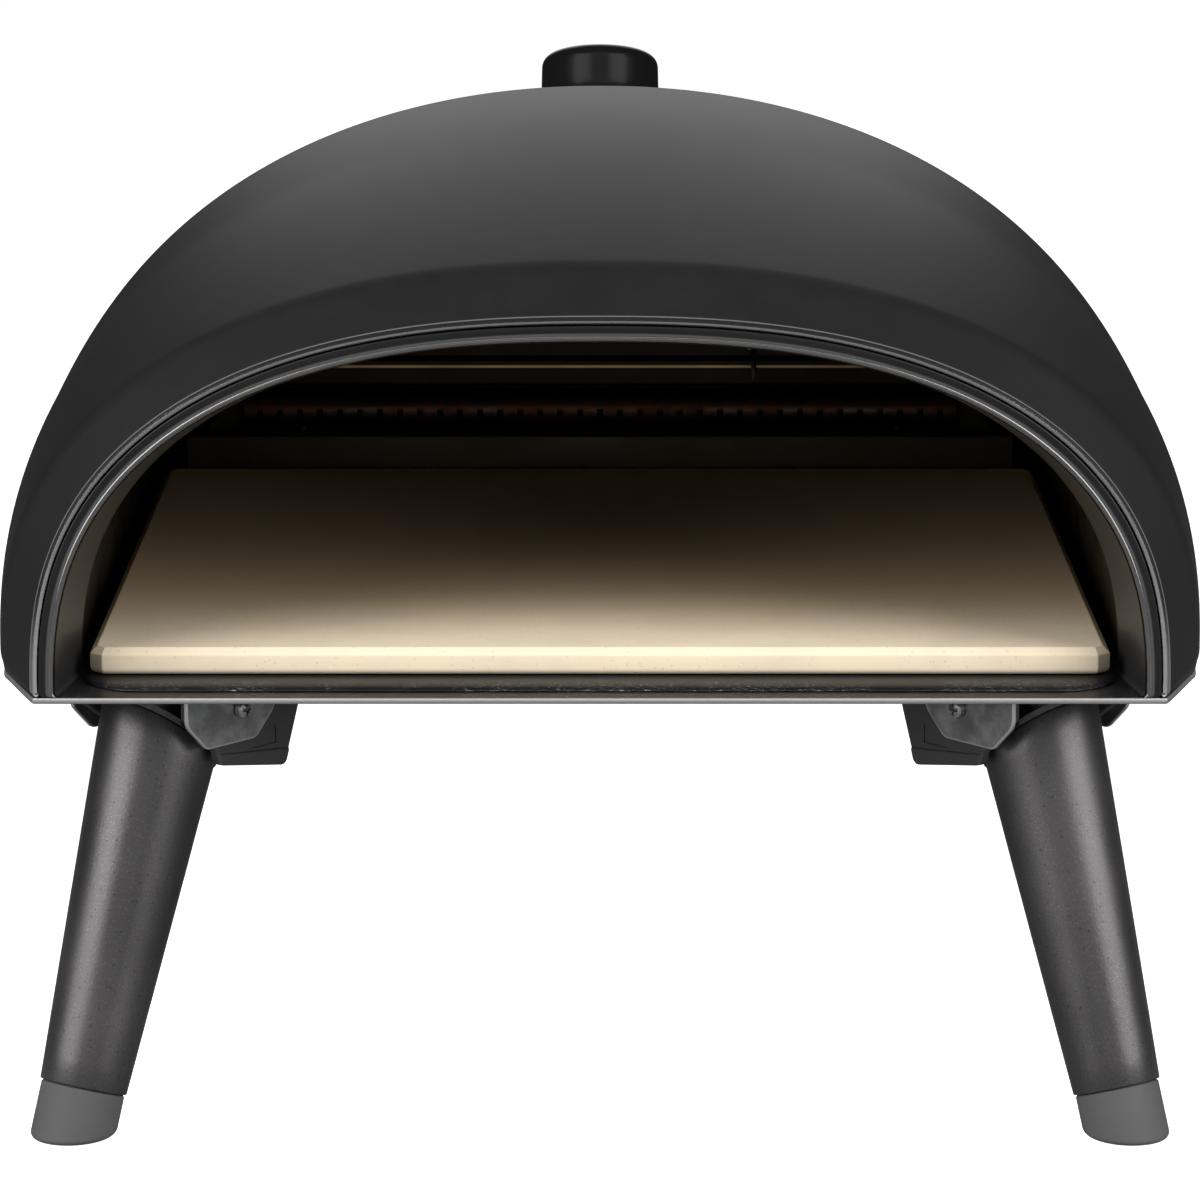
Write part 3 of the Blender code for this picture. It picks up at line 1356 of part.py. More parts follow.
def make_leg(name, x, depth_in, heading, head_side):
    """One folding leg. Its own +X points outwards, and its hinge runs along its own Y."""
    mount = bpy.data.objects.new(f"leg_mount_{name}", None)
    hinge = bpy.data.objects.new(f"leg_hinge_{name}", None)
    for empty in (mount, hinge):
        PARTS.objects.link(empty)
        empty.empty_display_size = EYE_RADIUS
    place = Matrix.Translation((x, back(depth_in), PIVOT_Z)) @ Matrix.Rotation(heading, 4, "Z")
    mount.matrix_basis = place
    hinge.matrix_basis = place @ Matrix.Rotation(-LEG_SPLAY, 4, "Y")
    make_leg_bracket(name, mount)
    make_leg_shoe(name, mount)
    make_pivot_bolt(name, mount, head_side)
    make_leg_tube(name, hinge)
    make_leg_knuckle(name, hinge)
    make_leg_foot(name, hinge)


def make_legs():
    right_front = -LEG_HEADING
    make_leg("front_right", FRONT_PIVOT_X, FRONT_PIVOT_IN, right_front, -1)
    make_leg("front_left", -FRONT_PIVOT_X, FRONT_PIVOT_IN, math.pi + LEG_HEADING, 1)
    make_leg("rear_right", REAR_PIVOT_X, REAR_PIVOT_IN, LEG_HEADING, 1)
    make_leg("rear_left", -REAR_PIVOT_X, REAR_PIVOT_IN, math.pi - LEG_HEADING, -1)


def make_knob_parts():
    axis = knob_matrix()
    slide = bpy.data.objects.new("knob_slide", None)
    slide.matrix_basis = axis
    hinge = bpy.data.objects.new("knob_turn", None)
    hinge.parent = slide
    for empty in (slide, hinge):
        PARTS.objects.link(empty)
        empty.empty_display_size = KNOB_RADIUS
    make_knob_bezel(axis)
    make_push_collar(slide)
    make_knob(hinge)
    outlet, inlet = make_gas_valve(axis)
    return axis, outlet, inlet


clear_scene()
PARTS = new_collection("portable_pizza_oven")
HELPERS = new_collection("cutters_and_joined_shapes")
HELPERS.hide_render = True

POWDER_COAT = new_material("black_powder_coat", (0.028, 0.027, 0.027), 0.55, 0.3)
RIM_STEEL = new_material("gloss_black_rim", (0.022, 0.021, 0.021), 0.3, 0.5)
LINER_STEEL = new_material("heat_dark_liner", (0.045, 0.036, 0.024), 0.55, 0.7)
PAN_STEEL = new_material("black_pan_steel", (0.04, 0.038, 0.036), 0.45, 0.6)
CORDIERITE = new_material("cordierite_stone", (0.76, 0.66, 0.49), 0.9)
FIBRE = new_material("ceramic_fibre", (0.85, 0.84, 0.80), 1.0)
BURNER_STEEL = new_material("burner_steel", (0.25, 0.23, 0.21), 0.45, 0.9)
BRASS = new_material("brass", (0.70, 0.52, 0.26), 0.3, 1.0)
ALUMINIUM = new_material("aluminium_pipe", (0.75, 0.75, 0.75), 0.35, 1.0)
CERAMIC = new_material("white_ceramic", (0.85, 0.83, 0.78), 0.4)
SILICONE = new_material("red_silicone", (0.45, 0.06, 0.04), 0.6)
BRIGHT_STEEL = new_material("bright_steel", (0.55, 0.55, 0.54), 0.3, 1.0)
KNOB_PLASTIC = new_material("gloss_black_knob", (0.012, 0.012, 0.013), 0.2)
LEG_COAT = new_material("grey_leg_coat", (0.055, 0.053, 0.052), 0.5, 0.5)
RUBBER = new_material("grey_rubber", (0.15, 0.15, 0.15), 0.85)
BRACKET_STEEL = new_material("black_bracket_steel", (0.05, 0.05, 0.05), 0.35, 0.8)
SHOE_PLASTIC = new_material("black_shoe_plastic", (0.02, 0.02, 0.02), 0.5)

KNOB_AXIS, VALVE_OUTLET, VALVE_INLET = make_knob_parts()
make_outer_shell(KNOB_AXIS)
make_mouth_frame()
make_inner_liner()
make_insulation()
make_back_wall()
make_base_pan()
make_stone_tray()
make_pizza_stone()
make_flame_guard()
make_burner_tube()
make_burner_feet()
make_jet_holder()
make_pipes(VALVE_OUTLET, VALVE_INLET, make_gas_inlet())
make_igniter(KNOB_AXIS)
make_back_cover()
make_legs()
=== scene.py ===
"""Looks of a portable gas pizza oven: a domed black shell over a baking stone, on four folding legs.

Run as a script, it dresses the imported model. Each operator makes one piece, or a group of like pieces, as a
surface worked out with numpy, and each finish is a procedural material. Metres, +Z up, the mouth faces -Y.
"""

import json
import math

import bpy
import numpy as np
from mathutils import Matrix, Vector

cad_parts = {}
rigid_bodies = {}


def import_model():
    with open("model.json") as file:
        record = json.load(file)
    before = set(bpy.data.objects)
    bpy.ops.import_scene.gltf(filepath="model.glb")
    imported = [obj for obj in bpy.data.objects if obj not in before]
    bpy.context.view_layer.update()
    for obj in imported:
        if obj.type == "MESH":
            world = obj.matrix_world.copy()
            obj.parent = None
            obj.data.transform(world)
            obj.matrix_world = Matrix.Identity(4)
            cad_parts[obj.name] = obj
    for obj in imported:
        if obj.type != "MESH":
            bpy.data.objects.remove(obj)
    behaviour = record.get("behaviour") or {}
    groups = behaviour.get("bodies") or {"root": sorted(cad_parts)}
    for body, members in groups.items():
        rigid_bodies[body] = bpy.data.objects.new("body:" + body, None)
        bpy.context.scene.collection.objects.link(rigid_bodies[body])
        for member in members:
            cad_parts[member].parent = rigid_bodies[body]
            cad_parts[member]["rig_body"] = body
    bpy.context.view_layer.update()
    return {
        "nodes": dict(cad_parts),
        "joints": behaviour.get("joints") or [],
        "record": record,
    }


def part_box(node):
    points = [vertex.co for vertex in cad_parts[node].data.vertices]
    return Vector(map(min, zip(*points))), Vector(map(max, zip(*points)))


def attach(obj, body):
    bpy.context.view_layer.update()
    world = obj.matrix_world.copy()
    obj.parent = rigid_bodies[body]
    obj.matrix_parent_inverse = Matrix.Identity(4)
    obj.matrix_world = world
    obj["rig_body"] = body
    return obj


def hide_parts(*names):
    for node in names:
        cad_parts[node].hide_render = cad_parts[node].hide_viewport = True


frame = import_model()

bl_info = {
    "name": "Portable pizza oven",
    "version": (1, 0, 0),
    "blender": (4, 5, 0),
    "location": "View3D > Sidebar > Oven",
    "description": "Dresses the packed pizza oven with fine surfaces and finishes",
    "category": "Object",
}

BODY_OF = {node: obj["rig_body"] for node, obj in frame["nodes"].items()}
SLOT_OF = {part["node"]: part["material_slot"] for part in frame["record"]["subparts"]}
JOINTS = {joint["name"]: joint for joint in frame["joints"]}
# Each leg, and the end of its pivot, along the joint's axis, that has the bolt's head
LEGS = {"front_right": -1, "front_left": 1, "rear_right": 1, "rear_left": -1}

# Gaps, sheets and holes that several pieces share
GAP = 0.0003
LINER_SHEET = 0.001
PAN_LIFT = 0.0017
PAN_SHEET = 0.0019
BRACKET_SHEET = 0.0015
KNOB_HOLE = 0.0093
SCREW_HOLE = 0.0018
LEAST_RADIUS = 0.00002

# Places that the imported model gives
FRONT_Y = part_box("outer_shell")[0].y
LEVEL_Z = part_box("pizza_stone")[1].z
PAN_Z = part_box("base_pan")[0].z + PAN_LIFT
PAN_TOP_Z = PAN_Z + PAN_SHEET
ON_PAN_Z = PAN_TOP_Z + GAP

# Bare numbers of the shapes: exponents, shares and counts
RIM_POWER, CREASE_POWER, BODY_POWER, LINER_POWER = 2.45, 2.3, 2.1, 2.4
SWELL_POWER, PLAN_POWER, PROFILE_POWER = 1.9, 3.5, 2.3
BACK_WIDTH_SHARE, BACK_CROWN_SHARE = 0.55, 0.42
ARCH_COLUMNS, TUCK_COLUMNS, LINER_COLUMNS = 169, 9, 121
ROUND, SMALL_ROUND = 96, 48
ENDS = ("first", "last")
QUARTER = np.pi / 2
ARC = np.linspace(0, QUARTER, 6)
SMOOTH_ANGLE, BEVEL_ANGLE = math.radians(32), math.radians(45)


def size(label, default, about):
    """A length that a user may change."""
    return bpy.props.FloatProperty(name=label, description=about, default=default, unit="LENGTH", precision=5)


def tilt(label, degrees, about):
    """An angle that a user may change."""
    radians = math.radians(degrees)
    return bpy.props.FloatProperty(name=label, description=about, default=radians, unit="ROTATION")


def tint(label, default, about):
    """A colour that a user may change."""
    return bpy.props.FloatVectorProperty(
        name=label, description=about, default=default, subtype="COLOR", size=3, min=0, max=1
    )


def power(label, default, about):
    """A lamp's power."""
    return bpy.props.FloatProperty(name=label, description=about, default=default, min=0, unit="POWER")


def share(label, default, about):
    """A plain number from 0 upwards."""
    return bpy.props.FloatProperty(name=label, description=about, default=default, min=0, precision=3)


class OvenDomeSizes(bpy.types.PropertyGroup):
    """Sizes of the dome shell and of the rim in its mouth."""

    depth: size("Depth", 0.475, "From the rim to the flat back")
    rim_half_width: size("Rim half width", 0.1836, "Half the shell's width at the rim")
    rim_crown: size("Rim crown", 0.112, "Height of the rim's top over the stone")
    rim_side_drop: size("Rim side drop", 0.0098, "How far below the stone's top the rim is widest")
    rim_tuck: size("Rim tuck", 0.001, "How far the rim's foot lies inside its widest line")
    foot_corner: size("Foot corner", 0.041, "Depth at which the foot reaches the full width")
    crease_in: size("Crease depth", 0.020, "From the rim to the crease")
    crease_half_width: size("Crease half width", 0.196, "Half the shell's width at the crease")
    crease_crown: size("Crease crown", 0.1275, "Height of the crease's top over the stone")
    crease_round: size("Crease rounding", 0.0036, "How far the crease is rounded to each side")
    belly_in: size("Belly depth", 0.150, "From the rim to the widest place")
    belly_half_width: size("Belly half width", 0.2038, "Half the greatest width")
    belly_tuck: size("Belly tuck", 0.0012, "How far the foot lies inside the widest line")
    peak_in: size("Peak depth", 0.215, "From the rim to the highest place")
    peak_crown: size("Peak crown", 0.159, "Greatest height over the stone")
    sheet: size("Sheet", 0.0015, "Thickness of the shell's sheet")
    edge_round: size("Edge rounding", 0.0005, "Rounding of the shell's cut edges")
    back_round: size("Back rounding", 0.006, "How far the back's edge is rounded")
    face: size("Rim face", 0.0032, "Width of the rim's dark face")
    lip: size("Rim lip", 0.0016, "Width of the rim's round lip")
    wall_in: size("Rim wall", 0.0105, "How far inwards the rim's wall ends")
    wall_depth: size("Rim wall depth", 0.041, "Depth at which the rim's wall ends")
    seam: size("Rim seam", 0.0002, "Gap between the shell and the mouth rim")
    rim_set_back: size("Rim set back", 0.0003, "How far the mouth rim lies behind the shell's edge")


class OvenFloorSizes(bpy.types.PropertyGroup):
    """Sizes of the pan, the tray and the stone."""

    stone: size("Stone", 0.335, "Side of the square stone")
    stone_height: size("Stone height", 0.0089, "Thickness of the stone")
    stone_in: size("Stone depth", 0.024, "From the rim to the stone's front")
    stone_corner: size("Stone corner", 0.0042, "Length cut off each corner of the stone")
    stone_chamfer: size("Stone chamfer", 0.0023, "Chamfer of the stone's top edge")
    stone_round: size("Stone rounding", 0.0008, "Rounding of the stone's arrises")
    stone_under: size("Stone lower rounding", 0.0022, "Rounding of the stone's lower edge")
    tray_in: size("Tray depth", 0.0097, "From the rim to the foot of the tray's front")
    tray_slope: size("Tray slope", 0.0128, "Run of the tray's rounded front")
    tray_margin: size("Tray margin", 0.0019, "How far the tray reaches past the stone")
    tray_corner: size("Tray corner", 0.020, "Radius of the tray's corners")
    pan_round: size("Pan rounding", 0.0005, "Rounding of the pan's cut edge")
    pan_spread: size("Pan spread", 0.0013, "How far the pan's front corners reach past the dome")


class OvenKnobSizes(bpy.types.PropertyGroup):
    """Sizes of the control knob and the ring under it."""

    bottom: size("Knob bottom", 0.0042, "Height of the knob's lower edge over the shell")
    height: size("Knob height", 0.0185, "Height of the knob")
    top_radius: size("Knob top radius", 0.0224, "Radius under the shoulder")
    radius: size("Knob radius", 0.0231, "Radius at the lower edge")
    shoulder: size("Knob shoulder", 0.0058, "Radius of the shoulder's rounding")
    ring_radius: size("Ring radius", 0.0245, "Radius of the ring under the knob")
    ring_height: size("Ring height", 0.0006, "Height of the ring's flare")
    ring_collar: size("Ring collar", 0.0040, "Height of the ring's inner collar over the shell")
    boss: size("Boss", 0.0070, "Height of the hub's lower end over the shell")
    stem_end: size("Stem end", 0.0163, "Height of the bore's end over the shell")


class OvenLegSizes(bpy.types.PropertyGroup):
    """Sizes of the folding legs and their mounts."""

    splay: tilt("Splay", 19, "Lean of a standing leg")
    offset: size("Offset", 0.007, "Distance of the leg's line outwards of the pivot")
    top_radius: size("Top radius", 0.02075, "Radius of the tube's top")
    bottom_radius: size("Bottom radius", 0.0145, "Radius of the tube's end")
    wall: size("Wall", 0.0016, "Wall of the tube")
    top_outer: size("Outer top", 0.006, "How far below the pivot the tube's outer side starts")
    top_inner: size("Inner top", 0.023, "How far below the pivot the slanting cut would end")
    top_level: size("Top level", 0.013, "How far below the pivot the tube's top turns level")
    foot_radius: size("Foot radius", 0.014, "Radius of the rubber foot")
    foot_collar: size("Foot collar", 0.0115, "Height of the foot below the tube")
    foot_round: size("Foot rounding", 0.0022, "Rounding of the foot's lower edge")
    bracket_half_width: size("Bracket half width", 0.027, "Half the width over the bracket's cheeks")
    bracket_out: size("Bracket offset", 0.0045, "How far outwards of the pivot the bracket's middle lies")
    bracket_half_length: size("Bracket half length", 0.0215, "Half the length of a cheek at its top")
    bracket_height: size("Bracket height", 0.0216, "Height of a cheek")
    bracket_straight: size("Bracket straight", 0.0124, "Straight stretch of a cheek's ends")
    bracket_bevel: size("Bracket bevel", 0.0095, "Length cut off each lower corner of a cheek")
    shoe_height: size("Shoe height", 0.0322, "Height of the moulded shoe")
    shoe_outer: size("Shoe outer end", 0.019, "Reach of the shoe outwards of the bracket's middle")
    shoe_inner: size("Shoe inner end", 0.035, "Reach of the shoe inwards of the bracket's middle")
    bolt_radius: size("Bolt radius", 0.0019, "Radius of the pivot bolt")
    head_radius: size("Head radius", 0.0032, "Radius of the bolt's head")
    head_height: size("Head height", 0.0030, "Height of the bolt's head")
    hole_radius: size("Hole radius", 0.0022, "Radius of the bolt's holes")


class OvenFinishes(bpy.types.PropertyGroup):
    """Colours of the finishes."""

    coat: tint("Powder coat", (0.0125, 0.0122, 0.0122), "Matte coat of the dome")
    rim: tint("Mouth rim", (0.009, 0.0087, 0.0087), "Gloss enamel of the mouth rim")
    edge: tint("Rubbed edge", (0.56, 0.555, 0.557), "Steel that shines through at a rubbed edge")
    liner: tint("Chamber", (0.030, 0.021, 0.011), "Steel darkened by heat")
    pan: tint("Pan", (0.011, 0.0115, 0.0125), "Black pan and tray")
    stone: tint("Stone", (0.94, 0.79, 0.585), "Fired cordierite")
    # Painted shade: a darker, yellower stone tone that stands for the dome's shadow deep in the mouth.
    inner_stone_shade: tint("Baked stone", (0.93, 0.72, 0.44), "Cordierite near the burner")
    knob: tint("Knob", (0.009, 0.009, 0.0095), "Gloss plastic")
    leg: tint("Leg", (0.118, 0.113, 0.114), "Metallic coat of the legs")
    foot: tint("Foot", (0.110, 0.110, 0.111), "Rubber of the feet")
    bracket: tint("Bracket", (0.32, 0.323, 0.333), "Blackened steel of the brackets")
    shoe: tint("Shoe", (0.055, 0.055, 0.055), "Moulded plastic of the shoes")
    bare: tint("Bare steel", (0.66, 0.655, 0.65), "Bright and worn steel")
    brass: tint("Brass", (0.70, 0.50, 0.24), "Brass of the valve and inlet")


class OvenStudio(bpy.types.PropertyGroup):
    """The stage: lamps, floor and camera."""

    back: power("Back panel", 12.5, "Broad panel behind, whose light lies on the crest")
    top: power("Top box", 3.0, "Soft box above and before the mouth")
    side: power("Side boxes", 11.5, "Soft boxes to the left and right")
    high: power("High side boxes", 12.0, "Soft boxes over the side ones")
    front: power("Front fill", 2.9, "Weak fill from the front")
    ambient: share("Ambient", 0.03, "Strength of the even light from all round")
    floor_glow: share("Floor glow", 0.96, "Even paleness of the floor")
    lens: bpy.props.FloatProperty(name="Lens", description="Focal length", default=165.5, unit="CAMERA")
    pitch: tilt("Pitch", 78.42, "Tilt of the camera")
    distance: size("Distance", 1.99318, "From the oven's middle to the camera")
    height: size("Height", 0.54135, "Height of the camera")


SETTINGS = {
    "oven_dome": OvenDomeSizes,
    "oven_floor": OvenFloorSizes,
    "oven_knob": OvenKnobSizes,
    "oven_leg": OvenLegSizes,
    "oven_finish": OvenFinishes,
    "oven_studio": OvenStudio,
}


def given(thing, **settings):
    """The thing with its settings filled in."""
    for key, value in settings.items():
        setattr(thing, key, value)
    return thing


# Shapes on grids


class Shape:
    """Points, faces and an edge value for each point: 1 where a cut edge lies, and 0 elsewhere."""

    def __init__(self, points, faces, edge=None):
        self.points = points
        self.faces = faces
        self.edge = np.zeros(len(points)) if edge is None else edge

    def __add__(self, other):
        count = len(self.points)
        faces = self.faces + [[corner + count for corner in face] for face in other.faces]
        points = np.vstack([self.points, other.points])
        return Shape(points, faces, np.concatenate([self.edge, other.edge]))

    def moved(self, matrix):
        """Each point turned by the matrix and shifted. A matrix that mirrors turns the faces round too."""
        mirrors = np.linalg.det(matrix[:3, :3]) < 0
        faces = [face[::-1] for face in self.faces] if mirrors else self.faces
        return Shape(self.points @ matrix[:3, :3].T + matrix[:3, 3], faces, self.edge)

    def mesh(self, name):
        mesh = bpy.data.meshes.new(name)
        mesh.from_pydata(self.points.tolist(), [], self.faces)
        mesh.attributes.new("edge", "FLOAT", "POINT").data.foreach_set("value", self.edge.astype(np.float32))
        mesh.update()
        return mesh


def grid(points, around=False, along=False, caps=(), edge=None, flip=False):
    """Quads between neighbours of a grid: columns joined round, rows joined along, ends capped.

    A closed grid is turned so that its volume is positive, a sixth of the sum of a . (b x c) over triangles.
    """
    rows, columns = points.shape[:2]
    index = np.arange(rows * columns).reshape(rows, columns)
    right = np.roll(index, -1, axis=1)
    quads = np.stack([index, right, np.roll(right, -1, axis=0), np.roll(index, -1, axis=0)], axis=-1)
    quads = quads[: rows if along else rows - 1, : columns if around else columns - 1].reshape(-1, 4)
    flat = points.reshape(-1, 3)
    ends = {"first": index[0][::-1], "last": index[-1]}
    faces = quads.tolist() + [ends[end].tolist() for end in caps]
    if len(caps) == 2 or (around and along):
        middle = flat.mean(0)
        a, b, c, d = (flat[quads[:, corner]] - middle for corner in range(4))
        volume = np.sum(a * np.cross(b, c)) + np.sum(a * np.cross(c, d))
        for end in caps:
            fan = flat[ends[end]] - middle
            volume += np.sum(fan[0] * np.cross(fan[1:-1], fan[2:]))
        flip = volume < 0
    if flip:
        faces = [face[::-1] for face in faces]
    value = None if edge is None else np.broadcast_to(np.reshape(edge, (rows, -1)), (rows, columns)).ravel()
    return Shape(flat, faces, value)


def column(values):
    return np.asarray(values, float).reshape(-1, 1)


def arc(x, y, across, up, angles, *more):
    """An ellipse's arc round (x, y), across times the sine and up times the cosine, with more values."""
    return [(x + across * math.sin(a), y + up * math.cos(a), *more) for a in angles]


def full_turn(sides):
    return np.linspace(0, 2 * np.pi, sides, endpoint=False)[None, :]


def carried_round(radius, height, angle, caps, offset=0.0):
    """Rows of points round an axis at x = offset: x = offset + r cos a, y = r sin a, z = h."""
    points = np.stack([offset + radius * np.cos(angle), radius * np.sin(angle), height], axis=-1)
    return grid(points, around=True, along=not caps, caps=caps)


def turned(profile, sides=ROUND, caps=ENDS, swell=None):
    """A profile of radius and height carried round the local Z axis.

    The function swell, if there is one, takes the radius, the height and the angle and gives new ones.
    """
    angle = full_turn(sides)
    radius, height = (column(values) + 0 * angle for values in zip(*profile))
    if swell is not None:
        radius, height = swell(radius, height, angle)
    return carried_round(radius, height, angle, caps)


def directions(outline):
    """Unit vectors from each point of a closed outline to the next."""
    ahead = np.roll(outline, -1, 0) - outline
    return ahead / np.linalg.norm(ahead, axis=1, keepdims=True)


def rounded_outline(corners, radii, inset=0.0, steps=6):
    """A closed outline drawn in by the inset, counter-clockwise, with arcs for corners.

    Drawing in moves a corner by the sum of its sides' inward normals times inset / (1 + their cosine). It
    takes the inset off the radius of an outer corner and adds it to that of an inner one. At a corner with
    half angle h, an arc of radius r has its centre r / sin h along the bisector.
    """
    corners, radii = np.asarray(corners, float), np.broadcast_to(radii, len(corners))
    x, y = corners.T
    if np.sum(x * np.roll(y, -1) - y * np.roll(x, -1)) < 0:
        corners, radii = corners[::-1], radii[::-1]
    ahead = directions(corners)
    behind = np.roll(ahead, 1, 0)
    inward = np.column_stack([-ahead[:, 1], ahead[:, 0]])
    inward_behind = np.roll(inward, 1, 0)
    cosine = np.sum(inward * inward_behind, axis=1, keepdims=True)
    corners = corners + inset * (inward + inward_behind) / (1 + cosine)
    radii = radii - inset * np.sign(behind[:, 0] * ahead[:, 1] - behind[:, 1] * ahead[:, 0])
    step = column(np.linspace(0, 1, steps))
    outline = []
    for before, corner, after, radius in zip(np.roll(corners, 1, 0), corners, np.roll(corners, -1, 0), radii):
        radius = max(radius, LEAST_RADIUS)
        a, b = ((other - corner) / np.linalg.norm(other - corner) for other in (before, after))
        half = math.acos(np.clip(a @ b, -1, 1)) / 2
        centre = corner + (a + b) / np.linalg.norm(a + b) * radius / math.sin(half)
        start, end = ((corner + side * radius / math.tan(half) - centre) / radius for side in (a, b))
        sweep = np.pi - 2 * half
        bend = (np.sin((1 - step) * sweep) * start + np.sin(step * sweep) * end) / math.sin(sweep)
        outline.append(centre + radius * bend)
    return np.vstack(outline)


def rectangle(half_width, low, high, cut=0.0):
    """Corners of a rectangle, or of one with its corners cut off, counter-clockwise."""
    if not cut:
        return [(-half_width, low), (half_width, low), (half_width, high), (-half_width, high)]
    side, near, far = half_width - cut, low + cut, high - cut
    return [
        (-side, low), (side, low), (half_width, near), (half_width, far),
        (side, high), (-side, high), (-half_width, far), (-half_width, near),
    ]


def raised(flat, height, edge):
    """A closed solid from outlines, one in each row, with a height and an edge value for each row."""
    points = np.dstack([flat, np.broadcast_to(column(height), flat.shape[:2])])
    return grid(points, around=True, caps=ENDS, edge=edge)


def plate(corners, radii, steps, arc_steps=6):
    """A rounded outline carried upwards, by steps of inset, height and edge value."""
    inset, height, edge = np.asarray(steps, float).T
    flat = np.stack([rounded_outline(corners, radii, value, arc_steps) for value in inset])
    return raised(flat, height, edge)


def rounded_steps(low, high, radius):
    """Steps of a plate with quarter-round edges, whose edge value fades on its faces."""
    lower = arc(radius, low + radius, -radius, -radius, ARC, 1)
    upper = [(inset, low + high - height, 1) for inset, height, _ in lower[::-1]]
    return [(2 * radius, low, 0), *lower, *upper, (2 * radius, high, 0)]


def matrix_of(x, y, z, origin):
    """A placing with these axes and origin."""
    matrix = np.eye(4)
    matrix[:3, :4] = np.column_stack([x, y, z, origin])
    return matrix


def along_x(place):
    """A placing that lays Z along X, and X along Y."""
    return matrix_of((0, 1, 0), (0, 0, 1), (1, 0, 0), place)


def along_y(place):
    """A mirroring placing that lays Z along Y, and Y along Z."""
    return matrix_of((1, 0, 0), (0, 0, 1), (0, 1, 0), place)


def turn_y(angle):
    cos, sin = math.cos(angle), math.sin(angle)
    return np.array([[cos, 0, sin, 0], [0, 1, 0, 0], [-sin, 0, cos, 0], [0, 0, 0, 1]])


def tube_between(start, end, radius, sides=SMALL_ROUND):
    """A closed cylinder between two points."""
    start, end = np.asarray(start, float), np.asarray(end, float)
    length = np.linalg.norm(end - start)
    z = (end - start) / length
    x = np.cross(z, (0.0, 0.0, 1.0) if abs(z[2]) < 0.9 else (1.0, 0.0, 0.0))
    x /= np.linalg.norm(x)
    return turned([(radius, 0), (radius, length)], sides).moved(matrix_of(x, np.cross(z, x), z, start))


def box_shape(low, high):
    x, y = (low[0], high[0], high[0], low[0]), (low[1], low[1], high[1], high[1])
    points = np.stack([np.column_stack([x, y, np.full(4, height)]) for height in (low[2], high[2])])
    return grid(points, around=True, caps=ENDS)


def arches(depth, half_width, side_z, crown_z, exponent, foot_half_width, columns=ARCH_COLUMNS):
    """Rows of dome sections. Over the widest line, half the width times |cos a|^(2/p) and the rise times
    sin a^(2/p), for an exponent p. Below it, a parabola in to the foot, which stands on the pan."""
    over = np.linspace(np.pi, 0, columns)[None, :]
    tuck = np.linspace(1, 0, TUCK_COLUMNS)[None, :-1]
    values = [column(v) for v in (half_width, side_z, crown_z, foot_half_width, exponent)]
    half, side, crown, foot, exponent = np.broadcast_arrays(*values)
    bend = 2 / exponent
    x = half * np.sign(np.cos(over)) * np.abs(np.cos(over)) ** bend
    z = side + (crown - side) * np.clip(np.sin(over), 0, 1) ** bend
    low_x = half - (half - foot) * tuck**2
    low_z = side + (ON_PAN_Z - side) * tuck
    x = np.hstack([-low_x, x, low_x[:, ::-1]])
    z = np.hstack([low_z, z, low_z[:, ::-1]])
    y = np.broadcast_to(FRONT_Y + column(depth), x.shape)
    return np.stack([x, y, z], axis=-1)


def end_run(length, end_share, exponent):
    """Run of a superellipse that has come down to a share of its height after this length."""
    return length / (1 - end_share**exponent) ** (1 / exponent)


class DomeCurves:
    """The dome's width, height and section over the depth behind the rim, as whole arrays."""

    def __init__(self, sizes):
        self.sizes = sizes
        self.plan_run = end_run(sizes.depth - sizes.belly_in, BACK_WIDTH_SHARE, PLAN_POWER)
        self.profile_run = end_run(sizes.depth - sizes.peak_in, BACK_CROWN_SHARE, PROFILE_POWER)

    def front(self, depth):
        """0 at the rim and 1 from the crease backwards."""
        return np.clip(depth / self.sizes.crease_in, 0, 1)

    def swelling(self, depth, rim, crease, most, most_in, swell_power, run, end_power):
        """Straight from the rim to the crease, a power of the distance to the greatest value, which lies at
        most_in, and then a superellipse down to the back."""
        crease_in = self.sizes.crease_in
        straight = rim + (crease - rim) * depth / crease_in
        before = np.clip((most_in - depth) / (most_in - crease_in), 0, 1)
        after = np.clip((depth - most_in) / run, 0, 1)
        swell = most - (most - crease) * before**swell_power
        return np.where(depth < crease_in, straight, swell * (1 - after**end_power) ** (1 / end_power))

    def crown(self, depth):
        s = self.sizes
        return self.swelling(depth, s.rim_crown, s.crease_crown, s.peak_crown, s.peak_in, SWELL_POWER,
                             self.profile_run, PROFILE_POWER)

    def half_width(self, depth):
        s = self.sizes
        return self.swelling(depth, s.rim_half_width, s.crease_half_width, s.belly_half_width, s.belly_in, 2,
                             self.plan_run, PLAN_POWER)

    def exponent(self, depth):
        s = self.sizes
        behind = np.clip((depth - s.crease_in) / (s.belly_in - s.crease_in), 0, 1)
        front = RIM_POWER + (CREASE_POWER - RIM_POWER) * self.front(depth)
        return np.where(depth < s.crease_in, front, CREASE_POWER + (BODY_POWER - CREASE_POWER) * behind)

    def softened(self, curve, depth):
        """The mean of a curve over a window as wide as the crease's rounding, which narrows at both ends."""
        reach = np.minimum(self.sizes.crease_round, np.minimum(depth, self.sizes.depth - depth))
        return np.mean([curve(depth + reach * step) for step in np.linspace(-1, 1, 11)], axis=0)

    def sections(self, depth):
        """Rows of points. The foot spreads straight from the rim until it reaches the full width."""
        s = self.sizes
        half = self.softened(self.half_width, depth)
        start, full = s.rim_half_width - s.rim_tuck, self.half_width(s.foot_corner) - s.belly_tuck
        foot = np.minimum(half - s.belly_tuck, start + (full - start) * depth / s.foot_corner)
        side_z = LEVEL_Z - s.rim_side_drop * (1 - self.softened(self.front, depth))
        crown_z = LEVEL_Z + self.softened(self.crown, depth)
        return arches(depth, half, side_z, crown_z, self.softened(self.exponent, depth), foot)


# Shader nodes


